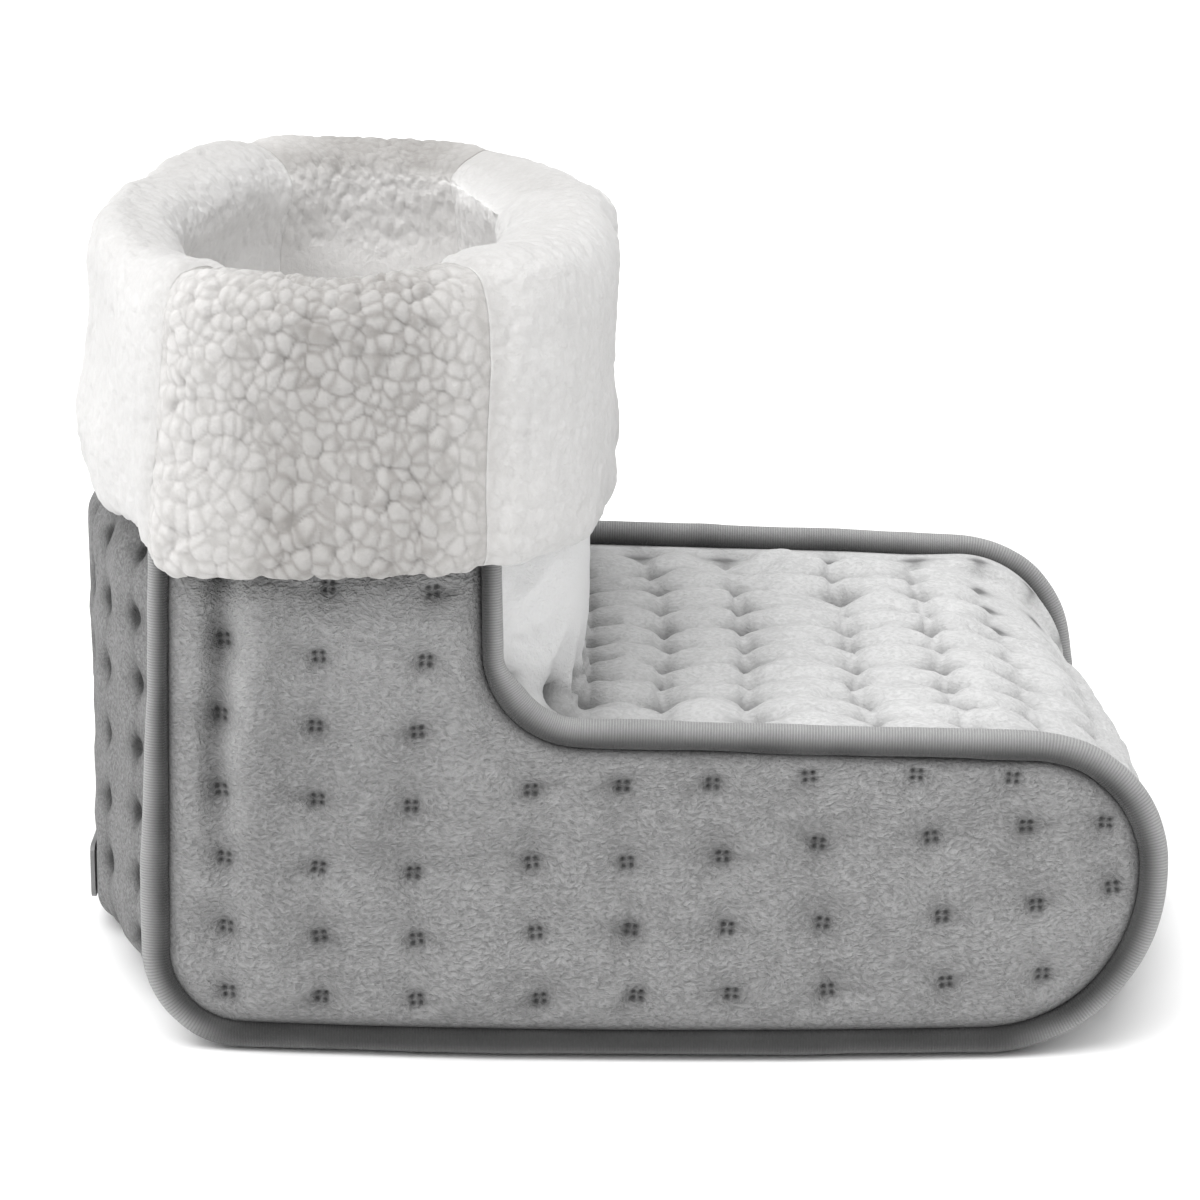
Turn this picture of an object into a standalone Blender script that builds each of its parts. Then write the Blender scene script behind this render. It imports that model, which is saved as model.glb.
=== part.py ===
"""Electric foot warmer for two feet: a boot-shaped bag of quilted plush with a folded fleece cuff.

The toe points along +X, the mouth opens along +Z and the wearer's right side is at -Y.
All lengths are in metres. The floor is z = 0.
"""
import math

import bmesh
import bpy
from mathutils import Vector

# Gaps and thin layers
FIT_GAP = 0.0003
LAYER_GAP = 0.0007
COVER_THICKNESS = 0.0045
WADDING_THICKNESS = 0.0043
LINER_THICKNESS = 0.0045

# Seam outline of a side panel, seen from the side
SEAM_HEEL_TOP_X = -0.1310
SEAM_HEEL_X = -0.1385
SEAM_TOE_X = 0.1570
SEAM_INSTEP_TOE_Z = 0.0915
SEAM_INSTEP_Z = 0.0970
SEAM_FRONT_X = -0.0420
SEAM_FRONT_TOP_X = -0.0440
SHAFT_TOP_Z = 0.2220
SEAM_HEEL_RADIUS = 0.0180
SEAM_TOE_BOTTOM_RADIUS = 0.0390
SEAM_TOE_TOP_RADIUS = 0.0340
SEAM_INSTEP_RADIUS = 0.0240

# The same outline halfway across the width, where heel, toe and front bulge out
MIDDLE_HEEL_TOP_X = -0.1705
MIDDLE_HEEL_X = -0.1725
MIDDLE_TOE_X = 0.1755
MIDDLE_INSTEP_TOE_Z = 0.0910
MIDDLE_INSTEP_Z = 0.0945
MIDDLE_FRONT_X = -0.0125
MIDDLE_FRONT_TOP_X = -0.0125
MIDDLE_HEEL_RADIUS = 0.0140
MIDDLE_TOE_BOTTOM_RADIUS = 0.0300
MIDDLE_TOE_TOP_RADIUS = 0.0600
MIDDLE_INSTEP_RADIUS = 0.0040

# How the strip panels bow across the width
SIDE_FACE_Y = 0.1211
STRIP_BOW_POWER = 2.0
SOLE_BOW_POWER = 12.0
SOLE_FLAT_SHARE = 1.03

# Where the folded cuff presses the shaft in
CUFF_PRESS_START_Z = 0.1420
CUFF_PRESS_END_Z = 0.1600
HEEL_SEAM_PRESS = 0.0035
HEEL_MIDDLE_PRESS = 0.0080
FRONT_MIDDLE_PRESS = 0.0020
SIDE_PRESS_SHARE = 0.55

# Sewn tufts of all quilted covers
TUFT_RADIUS = 0.0040
TUFT_DEPTH = 0.0022
TUFT_EDGE_MARGIN = 0.0070

# Quilting of the side covers
SIDE_CROWN = 0.0065
SIDE_CROWN_RUN = 0.0160
SIDE_QUILT_BLEND = 0.0120
SIDE_EDGE_DROP = 0.0035
SIDE_TUFT_X = -0.1195
SIDE_TUFT_Z = 0.0170
TUFT_PITCH_LONG = 0.0299
TUFT_PITCH_SHORT = 0.0218
SIDE_COLUMNS_BEFORE = 1
SIDE_COLUMNS = 11
SIDE_ROWS_BEFORE = 1
SIDE_ROWS = 11
SIDE_TUFT_DEPTH = 0.0008
SIDE_RIDGE = 0.0004
SIDE_PUFF = 0.0015
TOE_TUFT_LIFT = 0.0060
TOE_TUFT_LIFT_START_X = 0.0550
TOE_TUFT_LIFT_END_X = 0.1500
COVER_CUT_MARGIN = 0.0200

# Quilting of the strip covers
STRIP_TUFT_DEPTH = 0.0004
STRIP_RIDGE = 0.0003
STRIP_PUFF = 0.0018
STRIP_ROWS_EACH_SIDE = 11
FRONT_HALF_PITCHES = 4
TOE_PLAIN_HALF_PITCHES = 8
INSTEP_HALF_PITCHES = 20
HEEL_ROWS_EACH_SIDE = 8
HEEL_HALF_PITCHES = 20
INLET_FLAT_RADIUS = 0.0260
INLET_FLAT_BLEND = 0.0100

# Binding tape
BINDING_WIDTH = 0.0080
BINDING_THICKNESS = 0.0050
BINDING_EDGE_RADIUS = 0.0018
BINDING_OVER_SEAM = 0.0003
BINDING_TOP_Z = 0.1520
SEAM_SOLE_Z = BINDING_WIDTH + BINDING_OVER_SEAM

# Cuff, in plan
CUFF_CENTRE_X = -0.0875
CUFF_HEEL_REACH = 0.0850
CUFF_FRONT_REACH = 0.0850
CUFF_SIDE_STAND = 0.0189
CUFF_HEEL_POWER = 3.4
CUFF_FRONT_POWER = 4.0
CUFF_HEEL_BOW = 0.0385
CUFF_CORNER_BLEND = 0.0040
CUFF_HEEL_SEAM_X = -0.1360
CUFF_FRONT_SEAM_X = -0.0395
CUFF_MOUTH_INSET = 0.0006
CUFF_SEAM_GAP = 0.0004

# Cuff, in section
CUFF_OUTER_THICKNESS = 0.0075
CUFF_INNER_THICKNESS = 0.0042
CUFF_TOP_THICKNESS = 0.0080
CUFF_CREST_RISE = 0.0185
CUFF_LOWER_Z = 0.1545
CUFF_INNER_LOWER_Z = 0.2050
CUFF_FLARE = 0.0018
CUFF_FLARE_RUN = 0.0200
CUFF_SCALLOP = 0.0012
CUFF_SCALLOP_PITCH = 0.0230
CUFF_SWELL = 0.0010
CUFF_SWELL_PITCH = 0.0310
CUFF_INNER_ROWS = 1
CUFF_CREST_ROWS = 6
CUFF_OUTER_ROWS = 5
CUFF_SIDE_COLUMNS = 8
CUFF_END_COLUMNS = 16

# Sole layers, from the floor up
SOLE_COVER_THICKNESS = 0.0035
SOLE_FOAM_TOP_Z = 0.0158
HEATER_FLEECE_THICKNESS = 0.0015
HEATING_WIRE_RADIUS = 0.0011
FOOTBED_THICKNESS = 0.0050
SOLE_FOAM_SIDE_MARGIN = 0.0091
HEATER_SIDE_MARGIN = 0.0131
FOOTBED_TOE_REACH = 0.0120
LAYER_HEEL_GAP = 0.0012

# Heating wire runs
WIRE_RUNS = 10
WIRE_RUN_PITCH = 0.0200
WIRE_RUN_HEEL_X = -0.1050
WIRE_RUN_TOE_X = 0.1150
WIRE_RETURN_X = -0.1240
WIRE_END_X = -0.1377
WIRE_END_Y = 0.0105
WIRE_CORNER_RADIUS = 0.0060
TURN_STEPS = 6
CORNER_STEPS = 3

# Splice, cut-out, sensor and leads
SPLICE_RADIUS = 0.0013
SPLICE_LENGTH = 0.0080
CUTOUT_LENGTH = 0.0100
SENSOR_SIZE = 0.0070
SENSOR_THICKNESS = 0.0022
LEAD_RADIUS = 0.0008
LEAD_PITCH = 0.0042
LEAD_CORNER_RADIUS = 0.0020

# Inlet in the heel
INLET_BODY_WIDTH = 0.0220
INLET_BODY_HEIGHT = 0.0120
INLET_FLANGE_WIDTH = 0.0290
INLET_FLANGE_HEIGHT = 0.0180
INLET_FLANGE_THICKNESS = 0.0014
INLET_FLANGE_RADIUS = 0.0030
INLET_DEPTH = 0.0152
INLET_WALL = 0.0020
INLET_CAVITY_DEPTH = 0.0096
INLET_CUT_REACH = 0.0050
PIN_COUNT = 4
PIN_RADIUS = 0.0007
PIN_HOLE_CLEARANCE = 0.0002
PIN_STAND = 0.0044
PIN_TAIL = 0.0010
FRAME_WIDTH = 0.0280
FRAME_HEIGHT = 0.0160
FRAME_THICKNESS = 0.0012
FRAME_BEHIND_COVER = 0.0026

# Grid steps of the plain layers
SOLE_COLUMNS = 4
SOLE_ROW_SHARES = (-1.0, -0.94, -0.86, -0.745, -0.38, 0.0, 0.38, 0.745, 0.86, 0.94, 1.0)
STATION_MARGIN_SHARE = 0.3
LAYER_ROWS = 8
PLATE_COLUMNS = 2
PLATE_ROWS = 12

# Curve sampling
LINE_STEPS = 24
ARC_STEPS = 6
ROUND_SIDES = 16
PIN_SIDES = 12
PLAN_SAMPLES = 400
STRAIGHT_TOLERANCE = 0.00004

# Depths of the layers below the outer face of the covers
WADDING_DEPTH = COVER_THICKNESS + LAYER_GAP
LINER_DEPTH = WADDING_DEPTH + WADDING_THICKNESS + LAYER_GAP
MOUTH_DEPTH = LINER_DEPTH + LINER_THICKNESS + CUFF_MOUTH_INSET
SIDE_INSET_GAP = 2 * FIT_GAP

# Half widths that follow the side seam
CUFF_HALF_WIDTH = SIDE_FACE_Y + CUFF_SIDE_STAND
SOLE_FOAM_HALF_WIDTH = SIDE_FACE_Y - SOLE_FOAM_SIDE_MARGIN
HEATER_HALF_WIDTH = SIDE_FACE_Y - HEATER_SIDE_MARGIN

# Heights in the sole, from the foam up
HEATER_BASE_Z = SOLE_FOAM_TOP_Z + FIT_GAP
WIRE_Z = HEATER_BASE_Z + HEATER_FLEECE_THICKNESS + FIT_GAP + HEATING_WIRE_RADIUS
HEATER_TOP_Z = WIRE_Z + HEATING_WIRE_RADIUS + FIT_GAP
FOOTBED_Z = HEATER_TOP_Z + HEATER_FLEECE_THICKNESS + FIT_GAP

# The inlet sits on the heel cover, level with the heating wire
INLET_FRONT_X = MIDDLE_HEEL_X - FIT_GAP - INLET_FLANGE_THICKNESS
INLET_BACK_X = INLET_FRONT_X + INLET_DEPTH
PIN_END_X = INLET_BACK_X + PIN_TAIL
LEAD_START_X = PIN_END_X + FIT_GAP

SIDES = {"right": -1, "left": 1}

PLUSH_GREY = (0.36, 0.36, 0.365)
BINDING_GREY = (0.24, 0.24, 0.245)
FLEECE_WHITE = (0.86, 0.85, 0.83)
WADDING_WHITE = (0.80, 0.80, 0.79)
SOLE_GREY = (0.12, 0.12, 0.125)
FOAM_GREY = (0.55, 0.55, 0.53)
CARRIER_WHITE = (0.78, 0.77, 0.74)
WIRE_RED = (0.50, 0.09, 0.06)
LEAD_GREY = (0.30, 0.30, 0.31)
SLEEVE_CLEAR = (0.70, 0.68, 0.60)
INLET_GREY = (0.07, 0.07, 0.075)
PIN_METAL = (0.75, 0.62, 0.35)


def smooth(value):
    """Ease from 0 to 1 as value goes from 0 to 1."""
    held = min(1.0, max(0.0, value))
    return held * held * (3.0 - 2.0 * held)


def mix(first, second, share):
    """Point or number between two others."""
    if isinstance(first, tuple):
        return tuple(mix(a, b, share) for a, b in zip(first, second))
    return first + (second - first) * share


def soft_least(first, second, blend):
    """The smaller of two numbers, rounded over where they are nearly equal."""
    near = max(0.0, 1.0 - abs(first - second) / blend)
    return min(first, second) - near * near * blend / 4.0


def clear_scene():
    for item in list(bpy.data.objects):
        bpy.data.objects.remove(item, do_unlink=True)


def make_collection(name):
    group = bpy.data.collections.new(name)
    bpy.context.scene.collection.children.link(group)
    return group


clear_scene()
WARMER = make_collection("electric_foot_warmer")
CUTTERS = make_collection("cutters")


def make_material(name, colour, roughness, metallic=0.0):
    material = bpy.data.materials.new(name)
    material.use_nodes = True
    shader = material.node_tree.nodes["Principled BSDF"]
    shader.inputs["Base Color"].default_value = (*colour, 1.0)
    shader.inputs["Roughness"].default_value = roughness
    shader.inputs["Metallic"].default_value = metallic
    return material


def finish_piece(item, colour, roughness, metallic=0.0, shaded_smooth=True):
    """Give a finished sub-part its own material and shading."""
    item.data.materials.clear()
    item.data.materials.append(make_material(item.name + "_material", colour, roughness, metallic))
    for face in item.data.polygons:
        face.use_smooth = shaded_smooth
    return item


def link_mesh(name, mesh, group):
    item = bpy.data.objects.new(name, mesh)
    group.objects.link(item)
    return item


def mesh_from_bmesh(name, work, group):
    work.normal_update()
    bmesh.ops.recalc_face_normals(work, faces=work.faces[:])
    mesh = bpy.data.meshes.new(name)
    work.to_mesh(mesh)
    work.free()
    return link_mesh(name, mesh, group)


def slab(name, columns, rows, face_point, core_point, tufted=None):
    """Soft sheet: a grid with one extruded layer, laid between two surfaces.

    Where tufted says so, a grid node of the face becomes a sewn tuft; the hidden
    side of such a sheet keeps only every second row, apart from those at its edges.
    """
    work = bmesh.new()
    bmesh.ops.create_grid(work, x_segments=columns, y_segments=rows, size=1.0)
    core_side = set(work.verts)
    bmesh.ops.extrude_face_region(work, geom=work.faces[:])
    tufts = []
    odd_rows = set()
    for vertex in work.verts:
        column = round((vertex.co.x + 1.0) / 2.0 * columns)
        row = round((vertex.co.y + 1.0) / 2.0 * rows)
        if vertex in core_side:
            vertex.co = core_point(column, row)
            if row % 2 == 1 and 1 < row < rows - 1:
                odd_rows.add(vertex)
        else:
            vertex.co = face_point(column, row)
            if tufted and tufted(column, row):
                inward = Vector(core_point(column, row)) - vertex.co
                tufts.append((vertex, inward.normalized() * TUFT_DEPTH))
    if tufted:
        sew_tufts(work, tufts)
        spare = [e for e in work.edges if e.verts[0] in odd_rows and e.verts[1] in odd_rows]
        bmesh.ops.dissolve_edges(work, edges=spare, use_verts=True)
    return mesh_from_bmesh(name, work, WARMER)


def sew_tufts(work, tufts):
    """Draw the face in to a small pit at every tuft."""
    pits = [(vertex.co.copy(), draw) for vertex, draw in tufts]
    rings = bmesh.ops.bevel(
        work,
        geom=[vertex for vertex, draw in tufts],
        offset=TUFT_RADIUS,
        offset_type="OFFSET",
        segments=1,
        profile=0.5,
        affect="VERTICES",
    )
    for centre in bmesh.ops.poke(work, faces=rings["faces"])["verts"]:
        place, draw = min(pits, key=lambda pit: (pit[0] - centre.co).length)
        centre.co = place + draw


def outline_solid(name, outline, half_thickness, group=WARMER):
    """Flat plate from a closed outline in x and z, thickness along y, centred on y = 0."""
    curve = bpy.data.curves.new(name + "_outline", "CURVE")
    curve.dimensions = "2D"
    curve.fill_mode = "BOTH"
    curve.extrude = half_thickness
    spline = curve.splines.new("POLY")
    spline.points.add(len(outline) - 1)
    for point, (x, z) in zip(spline.points, outline):
        point.co = (x, z, 0.0, 1.0)
    spline.use_cyclic_u = True
    drawn = bpy.data.objects.new(name + "_outline", curve)
    CUTTERS.objects.link(drawn)
    bpy.context.view_layer.update()
    evaluated = drawn.evaluated_get(bpy.context.evaluated_depsgraph_get())
    mesh = bpy.data.meshes.new_from_object(evaluated)
    bpy.data.objects.remove(drawn, do_unlink=True)
    work = bmesh.new()
    work.from_mesh(mesh)
    bpy.data.meshes.remove(mesh)
    bmesh.ops.remove_doubles(work, verts=work.verts[:], dist=STRAIGHT_TOLERANCE)
    bmesh.ops.dissolve_limit(work, angle_limit=math.radians(1.0), verts=work.verts[:], edges=work.edges[:])
    for vertex in work.verts:
        vertex.co = (vertex.co.x, vertex.co.z, vertex.co.y)
    return mesh_from_bmesh(name, work, group)


def box_solid(name, centre, size, group=WARMER):
    work = bmesh.new()
    bmesh.ops.create_cube(work, size=1.0)
    for vertex in work.verts:
        vertex.co = tuple(c + v * s for c, v, s in zip(centre, vertex.co, size))
    return mesh_from_bmesh(name, work, group)


def rod_solid(name, start, length, radius, sides, group=WARMER):
    """Round rod that runs along +X from its start point."""
    work = bmesh.new()
    bmesh.ops.create_cone(
        work, cap_ends=True, segments=sides, radius1=radius, radius2=radius, depth=length
    )
    for vertex in work.verts:
        x, y, z = vertex.co
        vertex.co = (start[0] + length / 2.0 + z, start[1] + y, start[2] + x)
    return mesh_from_bmesh(name, work, group)


def tube_solid(name, points, radius):
    """Wire or lead with a round section along a polyline."""
    curve = bpy.data.curves.new(name, "CURVE")
    curve.dimensions = "3D"
    curve.bevel_depth = radius
    curve.bevel_resolution = 2
    curve.use_fill_caps = True
    spline = curve.splines.new("POLY")
    spline.points.add(len(points) - 1)
    for target, point in zip(spline.points, points):
        target.co = (*point, 1.0)
    drawn = bpy.data.objects.new(name + "_path", curve)
    CUTTERS.objects.link(drawn)
    bpy.context.view_layer.update()
    evaluated = drawn.evaluated_get(bpy.context.evaluated_depsgraph_get())
    mesh = bpy.data.meshes.new_from_object(evaluated)
    bpy.data.objects.remove(drawn, do_unlink=True)
    work = bmesh.new()
    work.from_mesh(mesh)
    bpy.data.meshes.remove(mesh)
    bmesh.ops.remove_doubles(work, verts=work.verts[:], dist=STRAIGHT_TOLERANCE)
    return mesh_from_bmesh(name, work, WARMER)


def make_cutter(item):
    item.hide_render = True
    item.display_type = "WIRE"
    return item


def cut(item, tool, operation="DIFFERENCE"):
    modifier = item.modifiers.new(operation.lower() + "_" + tool.name, "BOOLEAN")
    modifier.operation = operation
    modifier.solver = "EXACT"
    modifier.object = tool
    return modifier


def track(corners, radii):
    """Outline through rounded corners, as points with their outward normals.

    Every straight and every arc has the same number of samples in each track,
    so that two tracks can be blended sample by sample.
    """
    samples = []
    begin = corners[0]
    for index, radius in enumerate(radii):
        corner = corners[index + 1]
        along = unit(corners[index], corner)
        onward = unit(corner, corners[index + 2])
        turn = math.atan2(cross(along, onward), dot(along, onward))
        setback = radius * math.tan(abs(turn) / 2.0)
        arc_start = (corner[0] - along[0] * setback, corner[1] - along[1] * setback)
        add_line(samples, begin, arc_start, along)
        begin = add_arc(samples, arc_start, along, turn, radius)
    along = unit(begin, corners[-1])
    add_line(samples, begin, corners[-1], along)
    samples.append((corners[-1], (along[1], -along[0])))
    return samples


def unit(start, end):
    length = math.hypot(end[0] - start[0], end[1] - start[1])
    return ((end[0] - start[0]) / length, (end[1] - start[1]) / length)


def cross(a, b):
    return a[0] * b[1] - a[1] * b[0]


def dot(a, b):
    return a[0] * b[0] + a[1] * b[1]


def add_line(samples, start, end, along):
    for step in range(LINE_STEPS):
        samples.append((mix(start, end, step / LINE_STEPS), (along[1], -along[0])))


def add_arc(samples, start, along, turn, radius):
    """Arc that turns by the given angle; returns its end point."""
    side = math.copysign(1.0, turn)
    centre = (start[0] - along[1] * side * radius, start[1] + along[0] * side * radius)
    heading = math.atan2(along[1], along[0])
    for step in range(ARC_STEPS + 1):
        angle = heading + turn * step / ARC_STEPS
        normal = (math.sin(angle), -math.cos(angle))
        point = (centre[0] + normal[0] * side * radius, centre[1] + normal[1] * side * radius)
        if step < ARC_STEPS:
            samples.append((point, normal))
    return point


SEAM_TRACK = track(
    (
        (SEAM_HEEL_TOP_X, SHAFT_TOP_Z),
        (SEAM_HEEL_X, SEAM_SOLE_Z),
        (SEAM_TOE_X, SEAM_SOLE_Z),
        (SEAM_TOE_X, SEAM_INSTEP_TOE_Z),
        (SEAM_FRONT_X, SEAM_INSTEP_Z),
        (SEAM_FRONT_TOP_X, SHAFT_TOP_Z),
    ),
    (SEAM_HEEL_RADIUS, SEAM_TOE_BOTTOM_RADIUS, SEAM_TOE_TOP_RADIUS, SEAM_INSTEP_RADIUS),
)
MIDDLE_TRACK = track(
    (
        (MIDDLE_HEEL_TOP_X, SHAFT_TOP_Z),
        (MIDDLE_HEEL_X, 0.0),
        (MIDDLE_TOE_X, 0.0),
        (MIDDLE_TOE_X, MIDDLE_INSTEP_TOE_Z),
        (MIDDLE_FRONT_X, MIDDLE_INSTEP_Z),
        (MIDDLE_FRONT_TOP_X, SHAFT_TOP_Z),
    ),
    (MIDDLE_HEEL_RADIUS, MIDDLE_TOE_BOTTOM_RADIUS, MIDDLE_TOE_TOP_RADIUS, MIDDLE_INSTEP_RADIUS),
)

# Sample numbers where one stretch of the tracks ends and the next begins
HEEL_LINE_END = LINE_STEPS
HEEL_ARC_END = HEEL_LINE_END + ARC_STEPS
SOLE_LINE_END = HEEL_ARC_END + LINE_STEPS
TOE_BOTTOM_ARC_END = SOLE_LINE_END + ARC_STEPS
INSTEP_ARC_START = TOE_BOTTOM_ARC_END + LINE_STEPS + ARC_STEPS + LINE_STEPS
INSTEP_CREASE = INSTEP_ARC_START + ARC_STEPS / 2
TRACK_END = INSTEP_ARC_START + ARC_STEPS + LINE_STEPS


def track_point(samples, at, depth):
    """Point on a track, a given depth inward from it."""
    index = min(int(at), len(samples) - 2)
    share = at - index
    point = mix(samples[index][0], samples[index + 1][0], share)
    normal = mix(samples[index][1], samples[index + 1][1], share)
    length = math.hypot(*normal)
    return (point[0] - normal[0] / length * depth, point[1] - normal[1] / length * depth)


def round_share(y):
    """How far a strip follows the middle outline in plan, at a distance from the middle."""
    return 1.0 - min(1.0, abs(y) / SIDE_FACE_Y) ** STRIP_BOW_POWER


def bow_share(at, y):
    """How far the strip follows the middle outline in height: the sole lies flat."""
    if at <= HEEL_ARC_END:
        flatness = smooth((at - HEEL_LINE_END) / ARC_STEPS)
    else:
        flatness = 1.0 - smooth((at - SOLE_LINE_END) / ARC_STEPS)
    reach = min(1.0, abs(y) / SIDE_FACE_Y)
    flat_share = min(1.0, SOLE_FLAT_SHARE * (1.0 - reach ** SOLE_BOW_POWER))
    return mix(round_share(y), flat_share, flatness)


def cuff_press(z):
    return smooth((z - CUFF_PRESS_START_Z) / (CUFF_PRESS_END_Z - CUFF_PRESS_START_Z))


def strip_point(at, y, depth):
    """Point of the strip that runs round the warmer, at a depth below its outer face."""
    seam_x, seam_z = track_point(SEAM_TRACK, at, depth)
    middle_x, middle_z = track_point(MIDDLE_TRACK, at, depth)
    plan_share = round_share(y)
    x = mix(seam_x, middle_x, plan_share)
    z = mix(seam_z, middle_z, bow_share(at, y))
    if at < HEEL_LINE_END:
        x += mix(HEEL_SEAM_PRESS, HEEL_MIDDLE_PRESS, plan_share) * cuff_press(z)
    elif at > INSTEP_ARC_START:
        x -= FRONT_MIDDLE_PRESS * plan_share * cuff_press(z)
    return (x, y, z)


def strip_stations(start, end, count):
    """Track positions from start to end that divide the strip into equal lengths."""
    fine = [mix(start, end, step / PLAN_SAMPLES) for step in range(PLAN_SAMPLES + 1)]
    travelled = [0.0]
    for before, after in zip(fine, fine[1:]):
        travelled.append(travelled[-1] + math.dist(strip_middle(before), strip_middle(after)))
    stations = []
    index = 0
    for step in range(count + 1):
        goal = travelled[-1] * step / count
        while index < PLAN_SAMPLES - 1 and travelled[index + 1] < goal:
            index += 1
        share = (goal - travelled[index]) / (travelled[index + 1] - travelled[index])
        stations.append(mix(fine[index], fine[index + 1], share))
    return stations


def strip_middle(at):
    return strip_point(at, SIDE_FACE_Y / 2.0, 0.0)


def clipped(stations, start, end):
    """The stations between two track positions, with those positions as ends."""
    margin = STATION_MARGIN_SHARE * (stations[1] - stations[0])
    return [start] + [at for at in stations if start + margin < at < end - margin] + [end]


HEEL_STATIONS = strip_stations(0.0, HEEL_ARC_END, HEEL_HALF_PITCHES)
INSTEP_STATIONS = strip_stations(SOLE_LINE_END, INSTEP_CREASE, INSTEP_HALF_PITCHES)
FRONT_STATIONS = strip_stations(INSTEP_CREASE, TRACK_END, FRONT_HALF_PITCHES)
UPPER_STATIONS = INSTEP_STATIONS + FRONT_STATIONS[1:]


def quilt_lift(long_step, short_step, depth, ridge, puff):
    """Height of a quilted grid node: tuft, ridge between two tufts, or puff."""
    if long_step % 2 == 0 and short_step % 2 == 0:
        return -depth
    if long_step % 2 == 1 and short_step % 2 == 1:
        return puff
    return ridge


def strip_cover(name, stations, rows_each_side, gap_start, gap_end, lift, tufted):
    """Quilted strip between the side covers, along the given track positions."""
    half_width = SIDE_FACE_Y - FIT_GAP
    columns = len(stations) - 1
    rows = 2 * rows_each_side

    def spot(column, row):
        at = stations[column]
        if column == 0:
            at += gap_start
        if column == columns:
            at -= gap_end
        return at, (row - rows_each_side) / rows_each_side * half_width

    def face(column, row):
        at, y = spot(column, row)
        inside = 0 < column < columns and 0 < row < rows
        return strip_point(at, y, -lift(column, row, at, y) if inside else 0.0)

    def core(column, row):
        at, y = spot(column, row)
        return strip_point(at, y, COVER_THICKNESS)

    return slab(name, columns, rows, face, core, tufted)


def track_gap(start, end):
    """Share of a track step that makes half a fit gap along the strip."""
    step_length = math.dist(strip_middle(start), strip_middle(end)) / abs(end - start)
    return FIT_GAP / 2.0 / step_length


def build_upper_cover():
    gap = track_gap(SOLE_LINE_END, SOLE_LINE_END + 1)

    def lift(column, row, at, y):
        return quilt_lift(
            column - INSTEP_HALF_PITCHES,
            row - STRIP_ROWS_EACH_SIDE,
            STRIP_TUFT_DEPTH,
            STRIP_RIDGE,
            STRIP_PUFF,
        )

    def tufted(column, row):
        on_tuft = (column - INSTEP_HALF_PITCHES) % 2 == 0 and (row - STRIP_ROWS_EACH_SIDE) % 2 == 0
        return on_tuft and TOE_PLAIN_HALF_PITCHES <= column <= INSTEP_HALF_PITCHES

    rows = STRIP_ROWS_EACH_SIDE
    cover = strip_cover("upper_cover", UPPER_STATIONS, rows, gap, 0.0, lift, tufted)
    return finish_piece(cover, PLUSH_GREY, 0.95)


def build_heel_cover():
    gap = track_gap(HEEL_ARC_END - 1, HEEL_ARC_END)

    def lift(column, row, at, y):
        height = quilt_lift(
            column, row - HEEL_ROWS_EACH_SIDE, STRIP_TUFT_DEPTH, STRIP_RIDGE, STRIP_PUFF
        )
        away = math.hypot(y, strip_point(at, y, 0.0)[2] - WIRE_Z)
        return height * smooth((away - INLET_FLAT_RADIUS) / INLET_FLAT_BLEND)

    def tufted(column, row):
        on_tuft = column % 2 == 0 and (row - HEEL_ROWS_EACH_SIDE) % 2 == 0
        z = strip_point(HEEL_STATIONS[column], 0.0, 0.0)[2]
        low_middle = row == HEEL_ROWS_EACH_SIDE and z < WIRE_Z + INLET_FLAT_RADIUS
        inside = 0 < column < len(HEEL_STATIONS) - 1 and 0 < row < 2 * HEEL_ROWS_EACH_SIDE
        return on_tuft and inside and z < CUFF_PRESS_START_Z and not low_middle

    rows = HEEL_ROWS_EACH_SIDE
    cover = strip_cover("heel_cover", HEEL_STATIONS, rows, 0.0, gap, lift, tufted)
    cut(cover, INLET_CUTTER)
    return finish_piece(cover, PLUSH_GREY, 0.95)


def build_sole_cover():
    gap = track_gap(HEEL_ARC_END, HEEL_ARC_END + 1)
    stations = strip_stations(HEEL_ARC_END + gap, SOLE_LINE_END - gap, SOLE_COLUMNS)
    half_width = SIDE_FACE_Y - FIT_GAP

    def spot(column, row):
        return stations[column], SOLE_ROW_SHARES[row] * half_width

    def face(column, row):
        return strip_point(*spot(column, row), 0.0)

    def core(column, row):
        return strip_point(*spot(column, row), SOLE_COVER_THICKNESS)

    cover = slab("sole_cover", SOLE_COLUMNS, len(SOLE_ROW_SHARES) - 1, face, core)
    return finish_piece(cover, SOLE_GREY, 0.85)


def strip_layer(name, stations, depth, thickness, half_width, level_column, level_z):
    """Plain layer of the strip at a depth below the covers, level along its top edge."""

    def layer_point(column, row, below):
        y = (2.0 * row / LAYER_ROWS - 1.0) * half_width
        x, y, z = strip_point(stations[column], y, below)
        return (x, y, level_z if column == level_column else z)

    def face(column, row):
        return layer_point(column, row, depth)

    def core(column, row):
        return layer_point(column, row, depth + thickness)

    return slab(name, len(stations) - 1, LAYER_ROWS, face, core)


def inset_outline(inset, top_z):
    """Closed outline of a side layer, a distance inside the seam."""
    outline = []
    for at in range(len(SEAM_TRACK)):
        x, z = track_point(SEAM_TRACK, at, inset)
        if z > top_z:
            continue
        if at < HEEL_LINE_END:
            x += HEEL_SEAM_PRESS * cuff_press(z)
        outline.append((x, z))
    first, last = outline[0], outline[-1]
    outline.insert(0, (first[0], top_z))
    outline.append((last[0], top_z))
    return thin(outline)


def thin(outline):
    """Leave out the points that lie on a straight line between their neighbours."""
    kept = [outline[0]]
    for point, after in zip(outline[1:], outline[2:]):
        along = unit(kept[-1], after)
        away = cross(along, (point[0] - kept[-1][0], point[1] - kept[-1][1]))
        if abs(away) > STRAIGHT_TOLERANCE:
            kept.append(point)
    kept.append(outline[-1])
    return kept


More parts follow.
